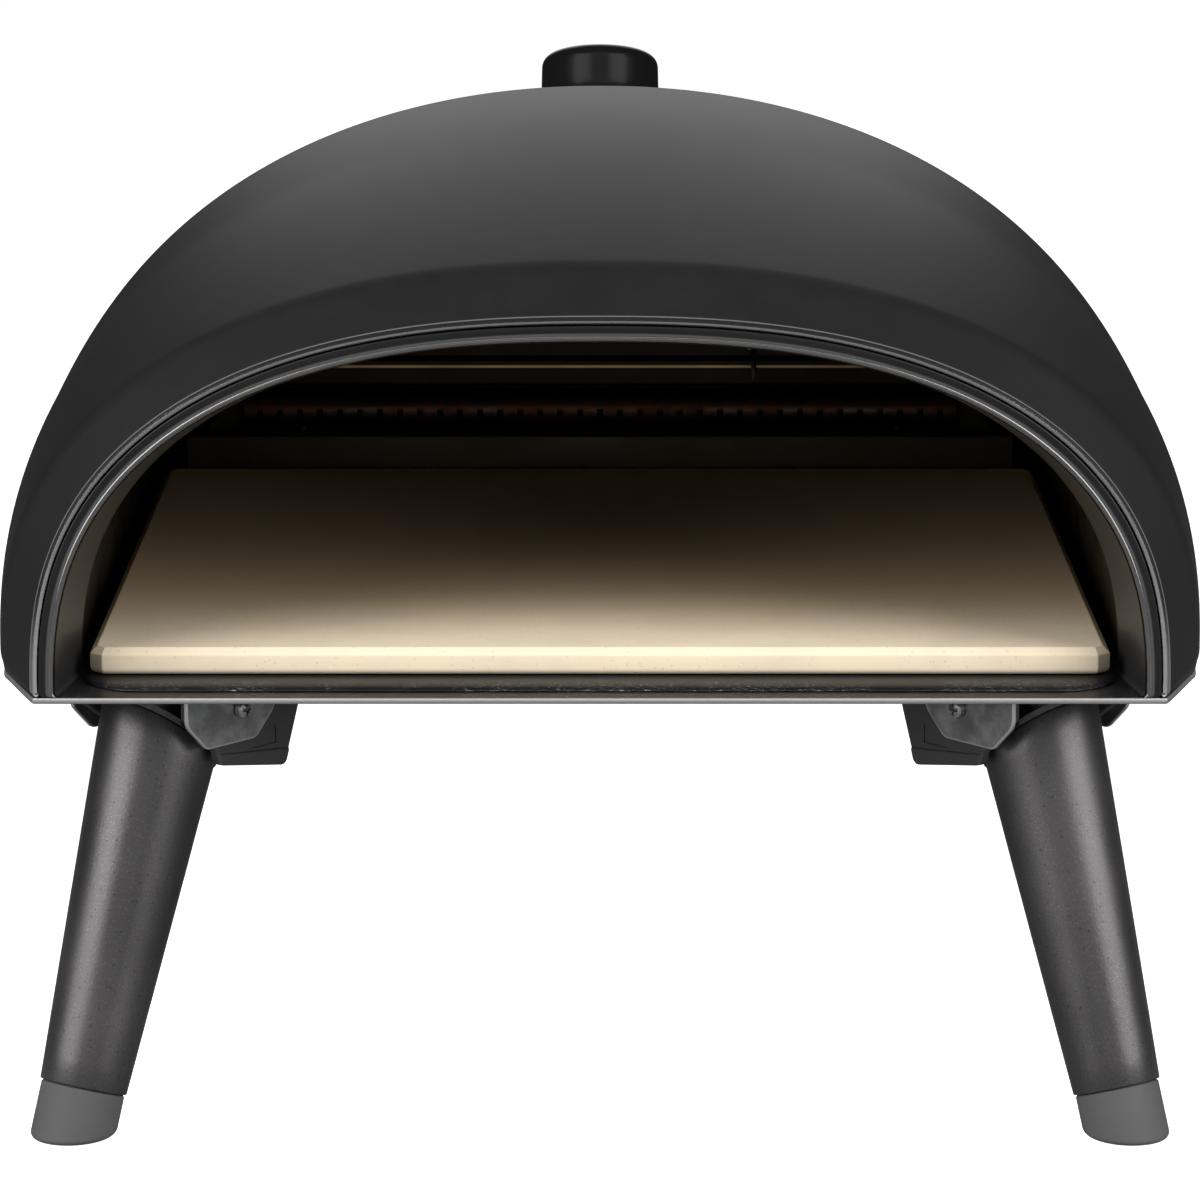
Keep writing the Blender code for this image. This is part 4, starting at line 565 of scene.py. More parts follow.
class Nodes:
    """A node tree with short ways to add nodes. Each returns the socket that the next one takes."""

    def __init__(self, tree):
        self.tree = tree

    def put(self, socket, value):
        if isinstance(value, bpy.types.NodeSocket):
            self.tree.links.new(value, socket)
        else:
            socket.default_value = value

    def add(self, kind, inputs, out=0, **settings):
        node = given(self.tree.nodes.new(kind), **settings)
        for key, value in inputs.items():
            self.put(node.inputs[key], value)
        return node.outputs[out]

    def spot(self):
        return self.add("ShaderNodeTexCoord", {}, "Object")

    def place(self, scale=(1, 1, 1)):
        return self.add("ShaderNodeMapping", {"Vector": self.spot(), "Scale": scale})

    def along(self, axis):
        """The distance along one axis, in metres."""
        return self.add("ShaderNodeSeparateXYZ", {"Vector": self.spot()}, axis)

    def noise(self, scale, detail=2.0, rough=0.5, place=None):
        inputs = {"Vector": place or self.place(), "Scale": scale, "Detail": detail, "Roughness": rough}
        return self.add("ShaderNodeTexNoise", inputs)

    def math(self, operation, first, second=0.0):
        return self.add("ShaderNodeMath", {0: first, 1: second}, operation=operation)

    def times(self, first, second):
        return self.math("MULTIPLY", first, second)

    def steps(self, value, low, high, to_low=0.0, to_high=1.0):
        inputs = {"Value": value, "From Min": low, "From Max": high, "To Min": to_low, "To Max": to_high}
        return self.add("ShaderNodeMapRange", inputs, interpolation_type="SMOOTHSTEP")

    def mix(self, factor, first, second):
        inputs = {0: factor, 6: rgba(first), 7: rgba(second)}
        return self.add("ShaderNodeMix", inputs, 2, data_type="RGBA")

    def edge(self):
        """The edge value that every shape carries."""
        return self.add("ShaderNodeAttribute", {}, "Fac", attribute_name="edge")

    def effect(self, name, inputs, out="Mask"):
        return self.add("ShaderNodeGroup", inputs, out, node_tree=effect_group(name))

    def bump(self, height, distance):
        return self.add("ShaderNodeBump", {"Height": height, "Distance": distance, "Strength": 1.0}, "Normal")


def rgba(colour):
    return colour if isinstance(colour, bpy.types.NodeSocket) else (*colour[:3], 1.0)


def scaled(colour, factor):
    return tuple(min(channel * factor, 1.0) for channel in colour)


def coat_grain(nodes, enter):
    """Orange peel of a sprayed coat, and slow clouds in it."""
    fine = nodes.noise(nodes.math("DIVIDE", 1.0, enter["Size"]), 3.0, 0.6)
    cloud = nodes.noise(nodes.math("DIVIDE", 0.02, enter["Size"]), 3.0, 0.5)
    return {"Height": fine, "Cloud": cloud}


def flecks(nodes, enter):
    """Small round grains: cells of a Voronoi pattern whose random value is over a threshold."""
    scale = nodes.math("DIVIDE", 1.0, enter["Size"])
    cell = nodes.add("ShaderNodeTexVoronoi", {"Vector": nodes.place(), "Scale": scale}).node.outputs
    chosen = nodes.math("GREATER_THAN", cell["Color"], nodes.math("SUBTRACT", 1.0, enter["Share"]))
    return {"Mask": nodes.times(chosen, nodes.steps(cell["Distance"], 0.15, 0.45, 1.0, 0.0))}


def edge_wear(nodes, enter):
    """Coat worn off cut edges: the edge value, eaten into by noise."""
    noise = nodes.noise(nodes.math("DIVIDE", 1.0, enter["Size"]), 4.0, 0.65)
    eaten = nodes.times(nodes.math("SUBTRACT", noise, 0.5), enter["Raggedness"])
    return {"Mask": nodes.steps(nodes.math("ADD", enter["Edge"], eaten), 0.45, 0.75)}


def scuffs(nodes, enter):
    """Fine scratches drawn out sideways, gathered in patches."""
    line = nodes.noise(nodes.math("DIVIDE", 1.0, enter["Size"]), 5.0, 0.75, nodes.place((1.0, 3.0, 4.0)))
    patch = nodes.noise(nodes.math("DIVIDE", 0.08, enter["Size"]), 2.0, 0.5)
    where = nodes.times(nodes.steps(line, 0.56, 0.68), nodes.steps(patch, 0.38, 0.55))
    return {"Mask": nodes.times(where, enter["Amount"])}


def dust(nodes, enter):
    """Fine dust that settles on what faces up."""
    facing = nodes.add("ShaderNodeNewGeometry", {}, "Normal")
    up = nodes.add("ShaderNodeSeparateXYZ", {"Vector": facing}, "Z")
    cloud = nodes.steps(nodes.noise(90.0, 6.0, 0.7), 0.35, 0.75)
    settled = nodes.times(nodes.steps(up, 0.3, 1.0), cloud)
    return {"Mask": nodes.times(settled, enter["Amount"])}


# Each shared effect: what fills it, its inputs and its outputs
EFFECTS = {
    "Coat Grain": (coat_grain, {"Size": 0.0006}, ("Height", "Cloud")),
    "Flecks": (flecks, {"Size": 0.001, "Share": 0.2}, ("Mask",)),
    "Edge Wear": (edge_wear, {"Edge": 0.0, "Size": 0.004, "Raggedness": 1.0}, ("Mask",)),
    "Scuffs": (scuffs, {"Size": 0.002, "Amount": 1.0}, ("Mask",)),
    "Dust": (dust, {"Amount": 0.1}, ("Mask",)),
}


def effect_group(name):
    """The node group of a shared effect, made once."""
    found = bpy.data.node_groups.get(name)
    if found:
        return found
    fill, inputs, outputs = EFFECTS[name]
    tree = bpy.data.node_groups.new(name, "ShaderNodeTree")
    for label, default in inputs.items():
        socket = tree.interface.new_socket(label, in_out="INPUT", socket_type="NodeSocketFloat")
        socket.default_value = default
    for label in outputs:
        tree.interface.new_socket(label, in_out="OUTPUT", socket_type="NodeSocketFloat")
    enter = tree.nodes.new("NodeGroupInput").outputs
    leave = tree.nodes.new("NodeGroupOutput").inputs
    nodes = Nodes(tree)
    for label, value in fill(nodes, enter).items():
        nodes.put(leave[label], value)
    return tree


class Finish(Nodes):
    """A material with its constant values on the shader's own sockets, and ways to add nodes to it."""

    def __init__(self, name, colour, roughness, metallic=0.0, **constants):
        self.material = bpy.data.materials.new(name)
        self.material.use_nodes = True
        super().__init__(self.material.node_tree)
        self.sockets = self.tree.nodes["Principled BSDF"].inputs
        self.tone = colour
        self.feed(Base_Color=rgba(colour), Roughness=roughness, Metallic=metallic, **constants)

    def feed(self, **values):
        """Puts values or nodes into the shader's sockets of these names."""
        for label, value in values.items():
            self.put(self.sockets[label.replace("_", " ")], value)
        return self


def coated(name, colour, rough, grain, relief, spread=0.12, dusty=0.0, metallic=0.0, vary=0.04, **constants):
    """A sprayed or moulded surface: clouds in its colour and gloss, a fine grain, and dust."""
    finish = Finish(name, colour, rough, metallic, **constants)
    cloud = finish.effect("Coat Grain", {"Size": grain}, "Cloud")
    height = finish.effect("Coat Grain", {"Size": grain}, "Height")
    tone = finish.mix(finish.steps(cloud, 0.3, 0.7), scaled(colour, 1 - spread), scaled(colour, 1 + spread))
    if dusty:
        tone = finish.mix(finish.effect("Dust", {"Amount": dusty}), tone, (0.30, 0.28, 0.26))
    finish.tone = tone
    gloss = finish.steps(cloud, 0.3, 0.7, rough - vary, rough + vary)
    return finish.feed(Base_Color=tone, Roughness=gloss, Normal=finish.bump(height, relief))


def polished_edge(finish, rough, polished, most):
    """The coat on an edge, rubbed smooth and thin over the steel, where the edge value is high."""
    edge = finish.steps(finish.edge(), 0.3, 0.9, 0.0, most)
    gloss = finish.steps(edge, 0.0, 1.0, rough, 0.2)
    return finish.feed(Base_Color=finish.mix(edge, finish.tone, polished), Metallic=edge, Roughness=gloss)


def powder_coat(colours):
    """Matte black coat of the dome, with a fine orange peel, rubbed bright on the front edge."""
    finish = coated("powder_coat", colours.coat, 0.5, 0.0009, 0.00004, 0.06, 0.012, vary=0.01,
                    Specular_IOR_Level=0.29)
    return polished_edge(finish, 0.52, colours.edge, 1.0)


def rim_enamel(colours):
    """Gloss black enamel of the mouth rim, with a painted lighter grey on the wall behind its face that
    stands for the side light falling on it.
    """
    finish = coated("rim_enamel", colours.rim, 0.3, 0.0016, 0.00002, 0.15, vary=0.0, Specular_IOR_Level=0.35)
    # Painted light: the wall behind the face is mixed to a lighter grey that stands for the light falling on
    # it.
    wall = finish.steps(finish.along("Y"), FRONT_Y + 0.0014, FRONT_Y + 0.0024)
    finish.tone = finish.mix(wall, finish.tone, (0.026, 0.026, 0.0265))
    return polished_edge(finish, 0.3, scaled(colours.edge, 0.4), 0.85)


def heat_steel(colours):
    """Steel of the chamber, browned and greyed by the flame in slow bands, with a painted warm highlight
    along a fold at the back.
    """
    finish = Finish("heat_steel", colours.liner, 0.5, 0.7)
    cloud = finish.noise(28.0, 5.0, 0.6)
    band = finish.noise(9.0, 2.0, 0.5, finish.place((0.4, 2.2, 3.0)))
    warm = finish.mix(finish.steps(cloud, 0.35, 0.7), colours.liner, scaled(colours.liner, 1.9))
    tone = finish.mix(finish.steps(band, 0.42, 0.66, 0.0, 0.6), warm, (0.030, 0.031, 0.036))
    height, behind = finish.along("Z"), finish.steps(finish.along("Y"), 0.115, 0.125)
    # Painted highlight: a thin bright warm band along the back fold that stands for the stone's light
    # reflected there.
    fold = finish.times(finish.steps(height, 0.1952, 0.1956), finish.steps(height, 0.1962, 0.1966, 1.0, 0.0))
    brushed = finish.noise(900.0, 3.0, 0.6, finish.place((0.1, 1.0, 1.0)))
    return finish.feed(
        Base_Color=finish.mix(finish.times(fold, behind), tone, (0.95, 0.72, 0.36)),
        Roughness=finish.steps(cloud, 0.3, 0.75, 0.36, 0.62),
        Normal=finish.bump(brushed, 0.00003),
    )


def pan_black(colours):
    """Black pan and tray: glossy, scuffed where the peel slides in, and bright at the front cut edge. The cut
    edge's bare steel carries painted shade: darker at its bottom, lighter at its top.
    """
    finish = coated("pan_black", colours.pan, 0.4, 0.0014, 0.00005, 0.2, Specular_IOR_Level=0.25)
    y = finish.along("Y")
    near = finish.steps(y, FRONT_Y + 0.014, FRONT_Y + 0.020, 1.0, 0.0)
    scuffed = finish.times(finish.effect("Scuffs", {"Size": 0.0016, "Amount": 1.0}), near)
    cut = finish.steps(y, FRONT_Y + 0.0004, FRONT_Y + 0.0009, 1.0, 0.0)
    worn = finish.effect("Edge Wear", {"Edge": cut, "Size": 0.006, "Raggedness": 0.5})
    bare = finish.math("MAXIMUM", worn, finish.times(scuffed, 0.8))
    bare = finish.math("MAXIMUM", bare, finish.times(finish.edge(), 0.3))
    # Painted shade: the bare steel is half as bright at the pan's lower face as at its upper face, standing
    # for how the light falls on the cut edge.
    height = finish.steps(finish.along("Z"), PAN_Z + GAP, PAN_TOP_Z - GAP)
    steel = finish.mix(height, scaled(colours.bare, 0.5), colours.bare)
    return finish.feed(
        Base_Color=finish.mix(bare, finish.tone, steel),
        Metallic=finish.steps(bare, 0.0, 1.0, 0.0, 0.85),
        Roughness=finish.steps(bare, 0.0, 1.0, 0.38, 0.44),
    )


def cordierite(colours):
    """Fired stone: pale, dry and even, with painted shade that makes it darker and yellower inwards, and with
    fine pores, grains and slow stains.
    """
    finish = Finish("cordierite", colours.stone, 0.88)
    cloud = finish.noise(22.0, 4.0, 0.55)
    grain = finish.effect("Flecks", {"Size": 0.0013, "Share": 0.22})
    pale = finish.effect("Flecks", {"Size": 0.0021, "Share": 0.16})
    tone = finish.mix(finish.steps(cloud, 0.3, 0.7), scaled(colours.stone, 0.95), scaled(colours.stone, 1.05))
    # Painted shade: deeper in the mouth the stone is mixed to a darker, yellower tone that stands for the
    # dome's shadow on it.
    inwards = finish.steps(finish.along("Y"), FRONT_Y + 0.03, FRONT_Y + 0.14)
    tone = finish.mix(inwards, tone, colours.inner_stone_shade)
    tone = finish.mix(finish.times(grain, 0.22), tone, (0.36, 0.25, 0.14))
    pores = finish.noise(1500.0, 4.0, 0.7)
    return finish.feed(
        Base_Color=finish.mix(finish.times(pale, 0.3), tone, (0.93, 0.86, 0.70)),
        Roughness=finish.steps(cloud, 0.3, 0.7, 0.82, 0.93),
        Normal=finish.bump(finish.math("SUBTRACT", pores, grain), 0.00006),
    )


def knob_gloss(colours):
    """Smooth black plastic of the knob and its ring, with a trace of dust."""
    return coated("knob_gloss", colours.knob, 0.26, 0.003, 0.00001, 0.2, 0.006, vary=0.02,
                  Specular_IOR_Level=0.1)


def leg_coat(colours):
    """Dark grey metallic coat of the legs, with a fine bright fleck."""
    finish = coated("leg_coat", colours.leg, 0.40, 0.0010, 0.00006, 0.1, metallic=0.9)
    bright = finish.effect("Flecks", {"Size": 0.0005, "Share": 0.35})
    dark = finish.effect("Flecks", {"Size": 0.0013, "Share": 0.2})
    tone = finish.mix(finish.times(dark, 0.55), finish.tone, scaled(colours.leg, 0.35))
    return finish.feed(Base_Color=finish.mix(finish.times(bright, 0.17), tone, (0.6, 0.59, 0.58)))


def bracket_steel(colours):
    """Blackened steel, brushed, with bright cut edges."""
    finish = Finish("bracket_steel", colours.bracket, 0.34, 0.85)
    brushed = finish.noise(700.0, 4.0, 0.65, finish.place((1.0, 1.0, 0.25)))
    cloud = finish.steps(finish.noise(120.0, 4.0, 0.6), 0.3, 0.75)
    worn = finish.effect("Edge Wear", {"Edge": finish.edge(), "Size": 0.003, "Raggedness": 0.45})
    tone = finish.mix(cloud, scaled(colours.bracket, 0.7), scaled(colours.bracket, 1.5))
    return finish.feed(
        Base_Color=finish.mix(worn, tone, colours.bare),
        Roughness=finish.steps(brushed, 0.3, 0.7, 0.28, 0.44),
        Normal=finish.bump(brushed, 0.00003),
    )


def metal(name, colour, rough, dull=0.75, patch=160.0, gloss=0.08, grain=(1800.0, 3.0, 0.6), relief=0.00002):
    """Plain metal with a drawn, turned or plated grain and dull patches."""
    finish = Finish(name, colour, rough, 1.0)
    cloud = finish.noise(patch, 4.0, 0.6)
    return finish.feed(
        Base_Color=finish.mix(finish.steps(cloud, 0.35, 0.7), scaled(colour, dull), colour),
        Roughness=finish.steps(cloud, 0.3, 0.7, rough - gloss, rough + 0.1),
        Normal=finish.bump(finish.noise(*grain), relief),
    )


def burner_steel(colours):
    """Stainless burner, straw and blue where the flame has tinted it."""
    finish = Finish("burner_steel", (0.06, 0.05, 0.045), 0.42, 0.95)
    heat = finish.noise(60.0, 4.0, 0.6)
    straw = finish.mix(finish.steps(heat, 0.3, 0.6), (0.050, 0.042, 0.036), (0.085, 0.036, 0.018))
    return finish.feed(
        Base_Color=finish.mix(finish.steps(heat, 0.58, 0.75), straw, (0.020, 0.022, 0.034)),
        Roughness=finish.steps(heat, 0.3, 0.7, 0.34, 0.52),
        Normal=finish.bump(finish.noise(1200.0, 3.0, 0.6), 0.00003),
    )


def woven(name, colour, rough, scale, relief):
    """Felted or sleeved stuff: coarse fibres in two directions, with shade between them."""
    finish = Finish(name, colour, rough)
    one, other = (finish.noise(scale, 4.0, 0.7, finish.place(way)) for way in ((1, 0.15, 1), (0.15, 1, 1)))
    both = finish.times(finish.math("ADD", one, other), 0.5)
    return finish.feed(
        Base_Color=finish.mix(finish.steps(both, 0.35, 0.65), scaled(colour, 0.7), colour),
        Roughness=finish.steps(both, 0.3, 0.7, rough - 0.06, rough),
        Normal=finish.bump(both, relief),
    )


FINISHES = {
    "powder_coat": powder_coat,
    "rim_steel": rim_enamel,
    "liner_steel": heat_steel,
    "pan_steel": pan_black,
    "cordierite": cordierite,
    "fibre": lambda colours: woven("ceramic_blanket", (0.80, 0.79, 0.75), 1.0, 500.0, 0.0004),
    "burner_steel": burner_steel,
    "brass": lambda colours: metal("brass", colours.brass, 0.3),
    "pipe_aluminium": lambda colours: metal("drawn_aluminium", (0.72, 0.72, 0.73), 0.36),
    "knob_plastic": knob_gloss,
    "white_ceramic": lambda colours: coated("white_ceramic", (0.82, 0.80, 0.74), 0.32, 0.002, 0.00001, 0.05),
    "bright_steel": lambda colours: metal("plated_steel", colours.bare, 0.32, 0.55, 420.0, 0.1,
                                          (2500.0, 2.0, 0.5), 0.00001),
    "silicone": lambda colours: woven("silicone_sleeve", (0.42, 0.05, 0.035), 0.6, 2200.0, 0.00006),
    "leg_coat": leg_coat,
    "foot_rubber": lambda colours: coated("foot_rubber", colours.foot, 0.72, 0.0011, 0.00009, 0.14, 0.15),
    "bracket_steel": bracket_steel,
    "shoe_plastic": lambda colours: coated("shoe_plastic", colours.shoe, 0.42, 0.0008, 0.00005, 0.12, 0.02),
}
READY = {}


def finish_of(slot):
    """The material of a slot, made once."""
    if slot not in READY:
        READY[slot] = FINISHES[slot](bpy.context.scene.oven_finish).material
    return READY[slot]


# Objects


def link(name, data):
    """A new object in the scene."""
    obj = bpy.data.objects.new(name, data)
    bpy.context.scene.collection.objects.link(obj)
    return obj


def worked(name, shape, sheet=0.0, rounding=0.0, cuts=(), joins=(), even=True):
    """The mesh of a shape after it is thickened, rounded at its edges, joined and cut."""
    obj = link(name, shape.mesh(name))
    add, helpers = obj.modifiers.new, []
    if sheet:
        given(add("Sheet", "SOLIDIFY"), thickness=sheet, offset=-1, use_even_offset=even)
    if rounding:
        limit = {"limit_method": "ANGLE", "angle_limit": BEVEL_ANGLE}
        given(add("Rounding", "BEVEL"), width=rounding, segments=3, **limit)
    for operation, shapes in (("UNION", joins), ("DIFFERENCE", cuts)):
        for other in shapes:
            helpers.append(link("helper", other.mesh("helper")))
            given(add(operation, "BOOLEAN"), operation=operation, solver="EXACT", object=helpers[-1])
    mesh = bpy.data.meshes.new_from_object(obj.evaluated_get(bpy.context.evaluated_depsgraph_get()))
    mesh.name = name
    for extra in [obj, *helpers]:
        old = extra.data
        bpy.data.objects.remove(extra)
        bpy.data.meshes.remove(old)
    return mesh


def dress(name, shape, node, **work):
    """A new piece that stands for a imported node, on its body, with its slot and the slot's finish.

    The shape is a Shape, which may still be worked, or a mesh.
    """
    if isinstance(shape, Shape):
        mesh = worked(name, shape, **work) if work else shape.mesh(name)
    else:
        mesh = shape
    mesh.materials.clear()
    mesh.materials.append(finish_of(SLOT_OF[node]))
    mesh.shade_smooth()
    mesh.set_sharp_from_angle(angle=SMOOTH_ANGLE)
    obj = link(name, mesh)
    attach(obj, BODY_OF[node])
    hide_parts(node)


# Pieces


def joint_place(name):
    """The axis of a joint, of length 1, and its place."""
    axis = np.array(JOINTS[name]["axis"], float)
    return axis / np.linalg.norm(axis), JOINTS[name]["pos_m"]


def knob_axes():
    """Place on the shell under the knob, with Z along the knob's own axis."""
    z, spot = joint_place("knob_turn")
    x = np.array([1.0, 0.0, 0.0])
    return matrix_of(x, np.cross(z, x), z, spot)


def screw_places():
    """Middles of the four cover screws."""
    return [sum(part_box(f"cover_screw_{index}"), Vector()) / 2 for index in (1, 2, 3, 4)]


def screw_holes(start, end):
    """Cutters for the holes of the cover screws, from one Y to another."""
    return [tube_between((place.x, start, place.z), (place.x, end, place.z), SCREW_HOLE, 24)
            for place in screw_places()]


class OVEN_OT_dome(bpy.types.Operator):
    """The dome: a straight band to a soft crease, a swelling body, and a flat back with a rounded edge"""

    bl_idname = "oven.dome"
    bl_label = "Dome shell"

    def execute(self, context):
        """Rows of sections along the depth. The back's edge is a Bezier curve from the last section over the
        corner to the same section drawn in. The flat back is that section drawn in to the foot's middle."""
        sizes = context.scene.oven_dome
        curves = DomeCurves(sizes)
        knee, end, late = sizes.crease_in, sizes.depth, 0.40
        depth = np.concatenate([
            (0, 0.0012, 0.0025), np.linspace(0.005, knee - 0.005, 5),
            np.linspace(knee - 0.004, knee + 0.004, 13), np.linspace(knee + 0.007, late, 46),
            late + (end - sizes.back_round - late) * np.sin(np.linspace(0, QUARTER, 16))[1:],
        ])
        body = curves.sections(depth)
        corner = curves.sections(np.array([end]))[0]
        centre = np.array([0, corner[0, 1], ON_PAN_Z])

        def shrunk(factor):
            return centre + (corner - centre) * factor

        step = np.linspace(0, 1, 8)[1:, None, None]
        bend = (1 - step) ** 2 * body[-1] + 2 * step * (1 - step) * corner + step**2 * shrunk(0.955)
        flat = np.stack([shrunk(factor) for factor in (0.9, 0.75, 0.55, 0.35, 0.15, 0.03)])
        rows = np.concatenate([body, bend, flat])
        cut_rows = 2
        shape = grid(rows, caps=("last",), edge=np.where(np.arange(len(rows)) < cut_rows, 1.0, 0.0))
        axes = knob_axes()
        spot, up = axes[:3, 3], axes[:3, 2]
        low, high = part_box("back_cover")
        margin, reach = 0.010, 0.02
        start, stop = low.y - reach, low.y + reach
        window = box_shape((low.x + margin, start, low.z + margin), (high.x - margin, stop, high.z - margin))
        neck = tube_between(spot - reach * up, spot + reach * up, KNOB_HOLE)
        cuts = [neck, window, *screw_holes(start, stop)]
        dress("dome_shell", shape, "outer_shell", sheet=sizes.sheet, rounding=sizes.edge_round, cuts=cuts)
        return {"FINISHED"}


class OVEN_OT_mouth_rim(bpy.types.Operator):
    """The gloss rim in the mouth: a narrow dark face, a round lip, a groove and a tapered wall"""

    bl_idname = "oven.mouth_rim"
    bl_label = "Mouth rim"

    def execute(self, context):
        """Sections drawn in by an inset at a depth: a quarter circle, the face, a half ellipse, a groove and
        the straight wall."""
        sizes = context.scene.oven_dome
        outer = sizes.rim_half_width - sizes.sheet - sizes.seam
        lip, edge = sizes.lip / 2, sizes.face + sizes.lip
        front, soft, bulge, wall_start, groove_floor = 0.0002, 0.0004, 0.0005, 0.0010, 0.0014
        corner = arc(soft, front + soft, -soft, -soft, ARC[::-1])
        bead = arc(sizes.face + lip, front + 0.0001, lip, -bulge, np.linspace(-QUARTER, QUARTER, 13))
        groove = [
            (edge + 0.0001, wall_start), (edge + 0.0002, groove_floor),
            (edge + 0.0004, groove_floor), (edge + 0.0005, wall_start),
        ]
        run = column(np.linspace(0, 1, 14)[1:])
        start, end = np.array([edge + 0.0005, wall_start]), np.array([sizes.wall_in, sizes.wall_depth])
        wall = start + (end - start) * run
        before = [(0, 0.005), (0, 0.003), *corner, (sizes.face * 0.5, front)]
        path = np.vstack([before, bead, groove, wall])
        half = outer - path[:, 0]
        side_z = LEVEL_Z - sizes.rim_side_drop
        crown_z = LEVEL_Z + sizes.rim_crown - (sizes.rim_half_width - half)
        depth = path[:, 1] + sizes.rim_set_back
        rows = arches(depth, half, side_z, crown_z, RIM_POWER, half - sizes.rim_tuck)
        edge = np.concatenate([np.zeros(len(before)), np.ones(len(bead)), np.zeros(len(groove) + len(wall))])
        dress("mouth_rim", grid(rows, flip=True, edge=edge), "mouth_frame", sheet=0.0004, even=False)
        return {"FINISHED"}


class OVEN_OT_chamber(bpy.types.Operator):
    """The liner behind the rim, with two shallow pressed ribs, and the low flame guard before the burner"""

    bl_idname = "oven.chamber"
    bl_label = "Chamber"

    def execute(self, context):
        """Liner sections whose crown falls by half a cosine wave and whose width narrows by a square. A rib
        is a bell curve of the depth. The guard is a channel's outline carried across."""
        low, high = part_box("inner_liner")
        crown, back_crown, fall_in = 0.106, 0.055, 0.300
        half_width, back_half_width, narrow_in = 0.1745, 0.160, 0.335
        rib_places, rib_reach, rib_height = (0.120, 0.230), 0.004, 0.0006
        end = high.y - FRONT_Y
        depth = np.linspace(low.y - FRONT_Y, end, 64)
        fall = np.clip((depth - fall_in) / (end - fall_in), 0, 1)
        narrow = np.clip((depth - narrow_in) / (end - narrow_in), 0, 1)
        rib = sum(np.exp(-(((depth - middle) / rib_reach) ** 2)) for middle in rib_places) * rib_height
        crown_z = LEVEL_Z + crown + (back_crown - crown) * (1 - np.cos(np.pi * fall)) / 2 + rib
        half = half_width + (back_half_width - half_width) * narrow**2 + rib
        rows = arches(depth, half, ON_PAN_Z + 0.001, crown_z, LINER_POWER, half, LINER_COLUMNS)
        dress("chamber_liner", grid(rows, flip=True), "inner_liner", sheet=-LINER_SHEET)
        low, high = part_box("flame_guard")
        height, reach, sheet = high.z - low.z, high.y - low.y, LINER_SHEET
        corners = [
            (0, 0), (reach, 0), (reach, sheet), (sheet, sheet),
            (sheet, height - sheet), (reach, height - sheet), (reach, height), (0, height),
        ]
        bend, end_round, inner_bend = 0.0014, 0.0003, 0.0004
        radii = [bend, end_round, end_round, inner_bend, inner_bend, end_round, end_round, bend]
        section = plate(corners, radii, rounded_steps(0, high.x - low.x, 0.0002), arc_steps=5)
        dress("flame_fence", section.moved(along_x(low)), "flame_guard")
        return {"FINISHED"}


class OVEN_OT_pan(bpy.types.Operator):
    """The pan with its worn front edge, and the pressed tray with a rounded front step"""

    bl_idname = "oven.pan"
    bl_label = "Pan and tray"

    def execute(self, context):
        """The pan is the dome's foot line, spread at the front by a bell curve and carried up through a
        sheet, drawn in along its normals at both faces. The tray is a rounded rectangle carried up a quarter
        ellipse, long at the front, and thickened downwards."""
        sizes = context.scene.oven_floor
        stretches = (0, 0.045, 19), (0.05, 0.44, 60), (0.445, 0.475, 14)
        depth = np.concatenate([np.linspace(*stretch) for stretch in stretches])
        section = DomeCurves(context.scene.oven_dome).sections(depth)
        spread = sizes.pan_spread * np.exp(-((depth / 0.03) ** 2))
        section[:, -1, 0] += spread
        section[:, 0, 0] -= spread
        line = np.vstack([section[:, -1, :2], section[::-1, 0, :2]])
        ahead = directions(line)
        tangent = ahead + np.roll(ahead, 1, 0)
        inward = np.column_stack([-tangent[:, 1], tangent[:, 0]])
        inward /= np.linalg.norm(tangent, axis=1, keepdims=True)
        inset, height, edge = np.asarray(rounded_steps(PAN_Z, PAN_TOP_Z, sizes.pan_round)).T
        dress("oven_pan", raised(line[None] + inward[None] * inset[:, None, None], height, edge), "base_pan")
        half = sizes.stone / 2 + sizes.tray_margin
        low = FRONT_Y + sizes.tray_in
        high = FRONT_Y + sizes.stone_in + sizes.stone + sizes.tray_margin
        rise = LEVEL_Z - sizes.stone_height - GAP - ON_PAN_Z
        if rise <= 0:
            raise ValueError("the stone leaves no height for the tray")
        rings = []
        for angle in np.linspace(0, QUARTER, 15):
            run = 1 - math.cos(angle)
            side_in = sizes.tray_margin * run
            corners = rectangle(half - side_in, low + sizes.tray_slope * run, high - side_in)
            outline = rounded_outline(corners, sizes.tray_corner - side_in, steps=22)
            rings.append(np.column_stack([outline, np.full(len(outline), ON_PAN_Z + rise * math.sin(angle))]))
        tray = grid(np.array(rings), around=True, caps=("last",))
        dress("stone_tray_pressing", tray, "stone_tray", sheet=0.0006, even=False)
        return {"FINISHED"}


class OVEN_OT_stone(bpy.types.Operator):
    """The square baking stone: cut corners, a chamfer round its top and soft arrises"""

    bl_idname = "oven.stone"
    bl_label = "Baking stone"

    def execute(self, context):
        """The outline with cut corners, carried up a quarter circle, a vertical face and a chamfer whose
        arrises are arcs of an eighth of a turn."""
        sizes = context.scene.oven_floor
        low = FRONT_Y + sizes.stone_in
        corners = rectangle(sizes.stone / 2, low, low + sizes.stone, sizes.stone_corner)
        chamfer, soft, under = sizes.stone_chamfer, sizes.stone_round, sizes.stone_under
        top, bottom = LEVEL_Z, LEVEL_Z - sizes.stone_height
        eighth = np.linspace(0, np.pi / 4, 5)
        lower = top - chamfer - soft * math.tan(math.pi / 8)
        inner = chamfer + soft * math.tan(math.pi / 8)
        steps = [
            (2 * under, bottom, 0), (1.3 * under, bottom, 0),
            *arc(under, bottom + under, -under, -under, ARC, 0),
            *arc(soft, lower, -soft, soft, QUARTER - eighth, 1),
            *arc(inner, top - soft, -soft, soft, eighth[::-1], 1),
            (inner * 1.2, top, 0), (inner * 2.2, top, 0),
        ]
        dress("baking_stone", plate(corners, soft, steps, arc_steps=5), "pizza_stone")
        return {"FINISHED"}


